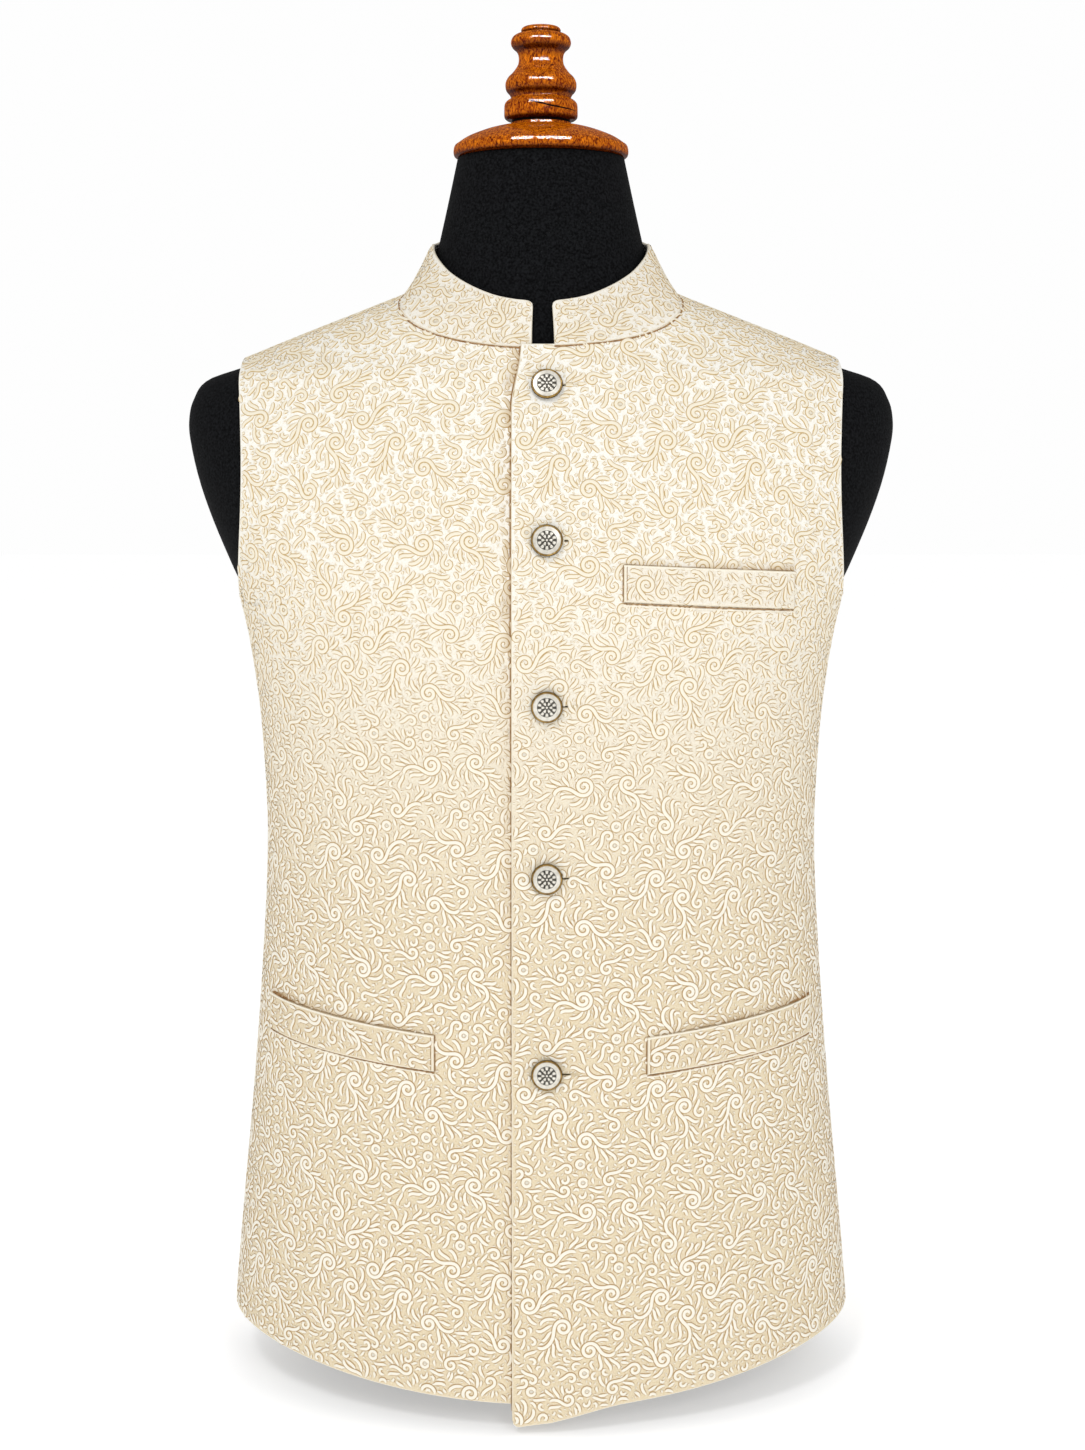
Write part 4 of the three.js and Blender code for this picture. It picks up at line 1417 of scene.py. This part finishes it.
def smoothed(profile, sharp=()):
    """More points along a profile, by a cubic through it, but straight at its sharp points."""
    profile = np.array(profile, float)
    found = [profile[0]]
    for k in range(1, len(profile)):
        a, b = profile[k - 1], profile[k]
        before = profile[k - 2] if k > 1 and k - 1 not in sharp else a
        after = profile[k + 1] if k < len(profile) - 1 and k not in sharp else b
        for t in (0.25, 0.5, 0.75, 1.0):
            found.append(cubic(a, (b - before) / 2, b, (after - a) / 2, t))
    found = np.array(found)
    found[:, 0] = np.maximum(found[:, 0], 0)
    found[0, 0] = found[-1, 0] = 0
    return found


CAP_PROFILE = [
    (0, 0), (CAP_RADIUS - 3, 0), (CAP_RADIUS - 0.7, 1.2), (CAP_RADIUS, 4), (CAP_RADIUS - 0.7, 7.6),
    (CAP_RADIUS - 2.6, 9.2), (52, 12.4), (46.4, 15), (37.6, 18.2), (28.7, 20.4), (20.6, 21.4),
    (20.4, 23.2), (0, 23.2),
]
FINIAL_PROFILE = [
    (0, 0), (19.6, 0), (19.6, 1.6), (23.2, 1.8), (24.7, 3.4), (24.9, 7), (24.6, 12), (22.8, 14.4), (20, 16),
    (21.2, 18.4), (23.4, 21), (24.1, 24.5), (23.6, 27.4), (21.9, 30.2), (19.2, 32.8), (15.9, 37.4),
    (15, 41), (15.3, 44.6), (16.6, 47), (19.2, 49.4), (20.3, 52.4), (19.2, 56), (16.2, 58.1),
    (12.4, 58.9), (13.4, 60.6), (12.2, 62.5), (9, 63.3), (0, 63.5),
]


class FORM_OT_dress_form(bpy.types.Operator):
    """Make the form's jersey cover"""

    bl_idname = "waistcoat.dress_form"
    bl_label = "Dress form"

    def execute(self, context):
        heights = np.array([
            0, 1, 3, 6, 10, 15, 22, 30, 40, *np.arange(FORM_ROUNDING, 660, 8), *np.arange(662, 760, 2.5),
            *np.arange(762, FORM_NECK_TOP - 2, 5), FORM_NECK_TOP - 1, FORM_NECK_TOP,
        ])
        sizes = sections_at(heights)
        below = np.clip((FORM_ROUNDING - heights) / FORM_ROUNDING, 0, 1)
        scale = mix(FORM_BASE_SHARE, 1, np.sqrt(1 - below**2))
        names = ("half_width", "front_depth", "back_depth")
        half, front, back = ((sizes[name] - sizes["form_inset"]) * scale for name in names)
        shares = np.linspace(0, 1, FORM_COLUMNS // 4 + 1)
        front_x, front_y = quarter_tables(half, front, sizes["squareness"], shares)
        back_x, back_y = quarter_tables(half, back, sizes["squareness"], shares)
        x = np.concatenate([front_x, back_x[:, -2::-1], -back_x[:, 1:], -front_x[:, -2:0:-1]], axis=1)
        y = np.concatenate([-front_y, back_y[:, -2::-1], back_y[:, 1:], -front_y[:, -2:0:-1]], axis=1)
        rings = np.stack(np.broadcast_arrays(x, y, heights[:, None]), axis=-1)
        jersey = jersey_material(context.scene.waistcoat_colours)
        form = stacked("form_cover", rings, 0, FORM_NECK_TOP, jersey)
        finish_piece(form, "jersey", "dress_form")
        return {"FINISHED"}


# A crack across the finial's drum. Its heights are over the drum's foot.
CRACK_COLUMNS = ("across", "height", "half_width")
CRACK = np.array([
    (-10.7, 12.0, 0.1), (-7.5, 11.4, 0.3), (-4.0, 10.6, 0.35), (-0.6, 9.7, 0.6), (1.2, 9.4, 0.55),
    (4.0, 8.7, 0.5), (7.6, 8.0, 0.55), (13.0, 7.4, 0.5), (18.0, 7.0, 0.4), (23.0, 6.6, 0.12),
])


def crack_line(profile):
    """The crack's points on the turned drum, the directions off it and its half widths."""
    across = np.linspace(CRACK[0, 0], CRACK[-1, 0], 48)
    row = {name: np.interp(across, CRACK[:, 0], column) for name, column in zip(CRACK_COLUMNS, CRACK.T)}
    side = np.argsort(profile[:, 1], kind="stable")
    radius = np.interp(row["height"], profile[side, 1], profile[side, 0])
    angle = np.arcsin(row["across"] / radius)
    out = np.stack([np.sin(angle), -np.cos(angle), np.zeros(len(angle))], axis=-1)
    points = out * radius[:, None]
    points[:, 2] = row["height"] + FINIAL_BOTTOM
    return points, out, row["half_width"]


def painted_underside_shade(vertex):
    """Painted shade under each bead: the turned wood is darkened where its surface faces down."""
    return float(np.clip(-vertex.normal.z * 1.3, 0, 0.9))


class FORM_OT_neck_wood(bpy.types.Operator):
    """Make the turned cap and finial"""

    bl_idname = "waistcoat.neck_wood"
    bl_label = "Neck cap and finial"

    def execute(self, context):
        wood = wood_material(context.scene.waistcoat_colours)
        # painted shade in the gap under the finial's drum, also used for the dark crack across it
        joint = plain_material("stain_in_the_joint", "#050100", "#120502", 0.9)
        finial_profile = smoothed(FINIAL_PROFILE, (1, 2, 3, 8, 23))
        cap = turned("neck_cap_wood", smoothed(CAP_PROFILE, (1, 10, 11)), 128, wood, CAP_BOTTOM)
        finial = turned("neck_finial_wood", finial_profile, 96, wood, FINIAL_BOTTOM)
        finial.data.materials.append(joint)
        for polygon in finial.data.polygons:
            if polygon.center[2] / MM < FINIAL_BOTTOM + FINIAL_PROFILE[2][1]:
                polygon.material_index = 1
        for piece in (cap, finial):
            add_attribute(piece, "underside_shade", [painted_underside_shade(vertex) for vertex in piece.data.vertices])
            glossy_pieces().objects.link(piece)
        crack = ribbons("neck_finial_crack", [crack_line(finial_profile)], joint, 0.15, 0.5)
        finish_piece(cap, "turned_wood", "neck_cap")
        finish_piece(finial, "turned_wood", "neck_finial")
        finish_piece(crack, "turned_wood")
        return {"FINISHED"}


def button_frame(height):
    """The place of a button's back and the directions of its width, height and axis."""
    turn = turn_at_x(BUTTON_X, height)
    lift = SHOULDER_GAP + CLOTH_THICKNESS + LAP_LIFT
    base = off_skin(turn, height, lift + SEAM_GAP)
    axis = unit(base - off_skin(turn, height, lift - 1.0))
    width = unit(np.cross((0, 0, 1.0), axis))
    return base, -width if width[0] < 0 else width, axis


BUTTON_SHELL = [
    (0, 0), (3, 0), (3, 1.2), (8.6, 1.4), (10.0, 1.9), (BUTTON_RADIUS, 2.6), (BUTTON_RADIUS - 0.35, 3.1),
    (BUTTON_RADIUS - 0.5, 3.7), (BUTTON_RADIUS - 0.9, 4.1), (BUTTON_RADIUS - 1.25, 3.9),
    (BUTTON_RADIUS - 1.35, 3.4), (0, 3.3),
]
RIM_FOOT = 3.0
ROSETTE_RADIUS = 6.4


def petals(rings):
    """A plain rosette in relief: rings of petals round an eye, as height over the face at (x, y)."""
    def height(x, y):
        r, angle = math.hypot(x, y), math.atan2(y, x)
        total = 0.0
        for count, middle, length, phase in rings:
            lobe = math.cos(count * (angle + phase)) * 0.5 + 0.5
            along = 1 - ((r - middle) / length) ** 2
            if along > 0:
                total = max(total, along * lobe**0.7)
        eye = 1 - (r / 1.1) ** 2
        return max(total, eye, 0)
    return height


class TRIM_OT_buttons(bpy.types.Operator):
    """Make the shank buttons: a gilt rim round a pale face with a rosette"""

    bl_idname = "waistcoat.buttons"
    bl_label = "Buttons"

    def execute(self, context):
        gilt = metal_material("gilt_rim", ("#6E5226", "#B99A5C"), 0.25, 1.0)
        # painted shade: the rim's lower part, by the cloth, is drawn dark where shade falls
        foot = metal_material("darkened_rim", ("#2B2216", "#4A3B26"), 0.4, 0.8)
        face_metal = metal_material("pale_plate", ("#D2CDC0", "#EEEAE0"), 0.3, 0.3, 0.0001)
        dark = metal_material("darkened_plate", ("#38352F", "#5C574D"), 0.5, 0.5)
        rosette = petals([(6, 2.6, 1.5, 0.0), (10, 4.9, 1.7, math.pi / 10)])
        for number, height in enumerate(BUTTON_HEIGHTS, 1):
            place = button_frame(height)
            shell = turned(f"button_{number}_rim", smoothed(BUTTON_SHELL, (1, 2, 10)), 64, gilt)
            shell.data.materials.append(foot)
            # the rim's lower part takes the painted shade
            for polygon in shell.data.polygons:
                polygon.material_index = int(polygon.center[2] / MM < RIM_FOOT)
            face = face_disc(f"button_{number}_face", rosette, face_metal, dark)
            for piece in (shell, face):
                move_points(piece, place)
            finish_piece(shell, "button", f"button_{number}")
            finish_piece(face, "button")
        return {"FINISHED"}


def move_points(obj, place):
    """Moves a piece drawn round the upright axis to a button's place."""
    base, width, axis = place
    points = np.array([v.co for v in obj.data.vertices]) / MM
    moved = base + points @ np.array([width, np.cross(axis, width), axis])
    obj.data.vertices.foreach_set("co", (moved * MM).astype(np.float32).ravel())
    obj.data.update()


FACE_RADIUS = BUTTON_RADIUS - 1.2
FACE_UNDERSIDE = 3.3
FACE_EDGE = 3.45
FACE_CROWN = 0.55
ROSETTE_RELIEF = 0.35


def face_disc(name, relief, face_metal, dark):
    """The button's face: a shallow dome with the rosette raised on it, dark between the petals."""
    sides, steps = 72, 26
    rings = [[(x, y, FACE_UNDERSIDE) for x, y in circle_points(FACE_RADIUS, sides)]]
    for step in range(steps, 0, -1):
        distance = FACE_RADIUS * step / steps
        dome = FACE_EDGE + FACE_CROWN * (1 - (distance / FACE_RADIUS) ** 2)
        circle = circle_points(distance, sides)
        rings.append([(x, y, dome + ROSETTE_RELIEF * relief(x, y)) for x, y in circle])
    top = FACE_EDGE + FACE_CROWN + ROSETTE_RELIEF
    obj = stacked(name, np.array(rings), FACE_UNDERSIDE, top, face_metal)
    obj.data.materials.append(dark)
    for polygon in obj.data.polygons:
        x, y = polygon.center[0] / MM, polygon.center[1] / MM
        polygon.material_index = int(math.hypot(x, y) < ROSETTE_RADIUS and relief(x, y) < 0.5)
    return obj


def circle_points(radius, sides):
    angles = [2 * math.pi * k / sides for k in range(sides)]
    return [(radius * math.cos(angle), radius * math.sin(angle)) for angle in angles]


def stitch_tree():
    """Instances of one stitch along a curve's points, turned with the curve, made real."""
    tree = bpy.data.node_groups.new("stitches", "GeometryNodeTree")
    face = tree.interface
    face.new_socket("Geometry", in_out="INPUT", socket_type="NodeSocketGeometry")
    for name, value in (("Spacing", 0.001), ("Length", 0.0016), ("Thickness", 0.0003)):
        socket = face.new_socket(name, in_out="INPUT", socket_type="NodeSocketFloat")
        socket.default_value = value
    face.new_socket("Thread", in_out="INPUT", socket_type="NodeSocketMaterial")
    face.new_socket("Geometry", in_out="OUTPUT", socket_type="NodeSocketGeometry")
    given = node(tree, "NodeGroupInput").outputs
    curve = node(tree, "GeometryNodeMeshToCurve", [("Mesh", given["Geometry"])]).outputs["Curve"]
    spaced = node(tree, "GeometryNodeResampleCurve", [
        ("Curve", curve), ("Length", given["Spacing"]),
    ], mode="LENGTH")
    bead = node(tree, "GeometryNodeMeshUVSphere", Segments=6, Rings=4, Radius=0.5)
    size = node(tree, "ShaderNodeCombineXYZ", [
        ("X", given["Thickness"]), ("Y", given["Length"]), ("Z", given["Thickness"]),
    ])
    normal = node(tree, "GeometryNodeInputNamedAttribute", data_type="FLOAT_VECTOR", Name="off_cloth")
    turn = node(tree, "FunctionNodeAxesToRotation", [
        ("Primary Axis", normal.outputs["Attribute"]),
        ("Secondary Axis", node(tree, "GeometryNodeInputTangent").outputs["Tangent"]),
    ], primary_axis="Z", secondary_axis="X")
    placed = node(tree, "GeometryNodeInstanceOnPoints", [
        ("Points", spaced.outputs["Curve"]), ("Instance", bead.outputs["Mesh"]),
        ("Rotation", turn.outputs["Rotation"]), ("Scale", size.outputs["Vector"]),
    ])
    real = node(tree, "GeometryNodeRealizeInstances", [("Geometry", placed.outputs["Instances"])])
    dressed = node(tree, "GeometryNodeSetMaterial", [
        ("Geometry", real.outputs["Geometry"]), ("Material", given["Thread"]),
    ])
    node(tree, "NodeGroupOutput", [("Geometry", dressed.outputs["Geometry"])])
    return tree


def stitched_line(name, lines, away, spacing, length, thickness, thread):
    """Stitches across each line of points, standing off the cloth in the direction away."""
    points, edges = [], []
    for line in lines:
        start = len(points)
        points += (line * MM).tolist()
        edges += [(k, k + 1) for k in range(start, len(points) - 1)]
    mesh = bpy.data.meshes.new(name)
    mesh.from_pydata(points, edges, [])
    directions = mesh.attributes.new("off_cloth", "FLOAT_VECTOR", "POINT")
    directions.data.foreach_set("vector", np.concatenate(away).astype(np.float32).ravel())
    path = bpy.data.objects.new(name + "_path", mesh)
    bpy.context.scene.collection.objects.link(path)
    tree = bpy.data.node_groups.get("stitches") or stitch_tree()
    modifier = path.modifiers.new("stitches", "NODES")
    modifier.node_group = tree
    sockets = {s.name: s.identifier for s in tree.interface.items_tree if s.in_out == "INPUT"}
    sizes = {"Spacing": spacing, "Length": length, "Thickness": thickness}
    for key, value in sizes.items():
        modifier[sockets[key]] = value * MM
    modifier[sockets["Thread"]] = thread
    bpy.context.view_layer.update()
    graph = bpy.context.evaluated_depsgraph_get()
    result = bpy.data.meshes.new_from_object(path.evaluated_get(graph))
    bpy.data.objects.remove(path)
    obj = bpy.data.objects.new(name, result)
    bpy.context.scene.collection.objects.link(obj)
    obj.data.shade_smooth()
    return obj


class TRIM_OT_buttonholes(bpy.types.Operator):
    """Make the worked buttonholes beside the buttons"""

    bl_idname = "waistcoat.buttonholes"
    bl_label = "Buttonholes"

    def execute(self, context):
        thread = thread_material(context.scene.waistcoat_colours)
        shade = plain_material("buttonhole_shade", "#2A2117", "#4A3B28", 0.9)
        stitch = context.scene.waistcoat_sizes.stitch / MM
        edge = BUTTON_X + BUTTON_RADIUS
        half = 0.5 * np.clip(np.linspace(3, 0.3, 16), 0, 1)
        beside = np.array([0, 0, 0.7])
        for number, height in enumerate(BUTTON_HEIGHTS, 1):
            points, out = on_front(np.linspace(edge - 4, edge + 10, 24), height, 0.35)
            stitches = stitched_line(
                f"buttonhole_{number}_stitches", [points + beside, points - beside], [out, out],
                0.7, stitch, 0.4, thread,
            )
            slit, slit_out = on_front(np.linspace(edge - 4, edge + 5, 16), height, 0.4)
            dark = ribbons(f"buttonhole_{number}_slit", [(slit, slit_out, half)], shade)
            finish_piece(stitches, "brocade")
            finish_piece(dark, "brocade")
        return {"FINISHED"}


FLOOR_REACH = 12000.0
LAMP_TARGET = Vector((0, 0, 0.45))
# Name, place and size in metres, power in watts, and whether it only shows as a gloss on the varnish
LAMPS = (
    ("softbox_left", (-0.7, -1.9, 2.6), (0.5, 0.5), 16, False),
    ("softbox_right", (0.7, -2.2, 1.6), (0.7, 0.7), 8.5, False),
    ("gloss_left", (-0.95, -2.0, 2.1), (1.2, 0.9), 500, True),
    ("gloss_right", (0.65, -2.0, 2.1), (1.9, 0.9), 820, True),
)


def glossy_pieces():
    """The varnished pieces, which alone the gloss lamps light."""
    return bpy.data.collections.get("glossy_pieces") or bpy.data.collections.new("glossy_pieces")


class STUDIO_OT_stage(bpy.types.Operator):
    """Make the pale sweep, the lights and the camera"""

    bl_idname = "waistcoat.stage"
    bl_label = "Studio"

    def execute(self, context):
        scene = context.scene
        camera_data = bpy.data.cameras.new("camera")
        camera_data.lens = CAMERA_LENS
        camera_data.sensor_width = 36.0
        camera_data.clip_end = 50.0
        camera = bpy.data.objects.new("camera", camera_data)
        camera.location = CAMERA_PLACE
        camera.rotation_euler = (math.radians(90 - CAMERA_PITCH), 0, 0)
        scene.collection.objects.link(camera)
        scene.camera = camera
        # the plain transform keeps white cloth white
        scene.view_settings.view_transform = "Standard"
        white, tree, shader = new_material("studio_paper")
        # the paper glows a little, so that the shadow on it stays faint
        dress(tree, shader, None, {
            "Base Color": linear("#FBFBFB"), "Roughness": 0.9,
            "Emission Color": (1, 1, 1, 1), "Emission Strength": 0.42,
        })
        corners = FLOOR_REACH * np.array([(-1, -1, 0), (1, -1, 0), (1, 1, 0), (-1, 1, 0)])
        new_object("floor", corners, [[0, 1, 2, 3]], white, smooth=False)
        world = bpy.data.worlds.new("studio")
        world.use_nodes = True
        background = world.node_tree.nodes["Background"]
        background.inputs["Color"].default_value = (1, 1, 1, 1)
        # the backdrop looks white, but lights the piece less, so that the lamps model it
        path = node(world.node_tree, "ShaderNodeLightPath")
        glow = node(world.node_tree, "ShaderNodeMapRange", [
            ("Value", path.outputs["Is Camera Ray"]), ("To Min", 0.6), ("To Max", 0.99),
        ])
        world.node_tree.links.new(glow.outputs["Result"], background.inputs["Strength"])
        scene.world = world
        for name, place, size, power, gloss_only in LAMPS:
            light = bpy.data.lights.new(name, "AREA")
            light.shape = "RECTANGLE"
            light.size, light.size_y = size
            light.energy = power
            lamp = bpy.data.objects.new(name, light)
            if gloss_only:
                lamp.visible_diffuse = False
                lamp.light_linking.receiver_collection = glossy_pieces()
            lamp.location = place
            lamp.rotation_euler = (LAMP_TARGET - lamp.location).to_track_quat("-Z", "Y").to_euler()
            scene.collection.objects.link(lamp)
        return {"FINISHED"}


class VIEW3D_PT_waistcoat(bpy.types.Panel):
    """Lists the steps that build the waistcoat"""

    bl_idname = "VIEW3D_PT_waistcoat"
    bl_label = "Waistcoat"
    bl_space_type = "VIEW_3D"
    bl_region_type = "UI"
    bl_category = "Waistcoat"

    def draw(self, context):
        for step in STEPS:
            self.layout.operator(step.bl_idname)


STEPS = (
    STUDIO_OT_stage,
    CLOTH_OT_fronts,
    CLOTH_OT_back,
    CLOTH_OT_collar,
    CLOTH_OT_welts,
    CLOTH_OT_seam_lines,
    TRIM_OT_buttons,
    TRIM_OT_buttonholes,
    FORM_OT_dress_form,
    FORM_OT_neck_wood,
)
CLASSES = (WaistcoatSizes, WaistcoatColours, *STEPS, VIEW3D_PT_waistcoat)
STROKES, EYES = draw_scrolls()


def register():
    for cls in CLASSES:
        bpy.utils.register_class(cls)
    bpy.types.Scene.waistcoat_sizes = bpy.props.PointerProperty(type=WaistcoatSizes)
    bpy.types.Scene.waistcoat_colours = bpy.props.PointerProperty(type=WaistcoatColours)


def unregister():
    del bpy.types.Scene.waistcoat_colours
    del bpy.types.Scene.waistcoat_sizes
    for cls in reversed(CLASSES):
        bpy.utils.unregister_class(cls)


def main():
    register()
    bpy.ops.waistcoat.stage()
    bpy.ops.waistcoat.fronts()
    bpy.ops.waistcoat.back()
    bpy.ops.waistcoat.collar()
    bpy.ops.waistcoat.welts()
    bpy.ops.waistcoat.seam_lines()
    bpy.ops.waistcoat.buttons()
    bpy.ops.waistcoat.buttonholes()
    bpy.ops.waistcoat.dress_form()
    bpy.ops.waistcoat.neck_wood()


if __name__ == "__main__":
    main()
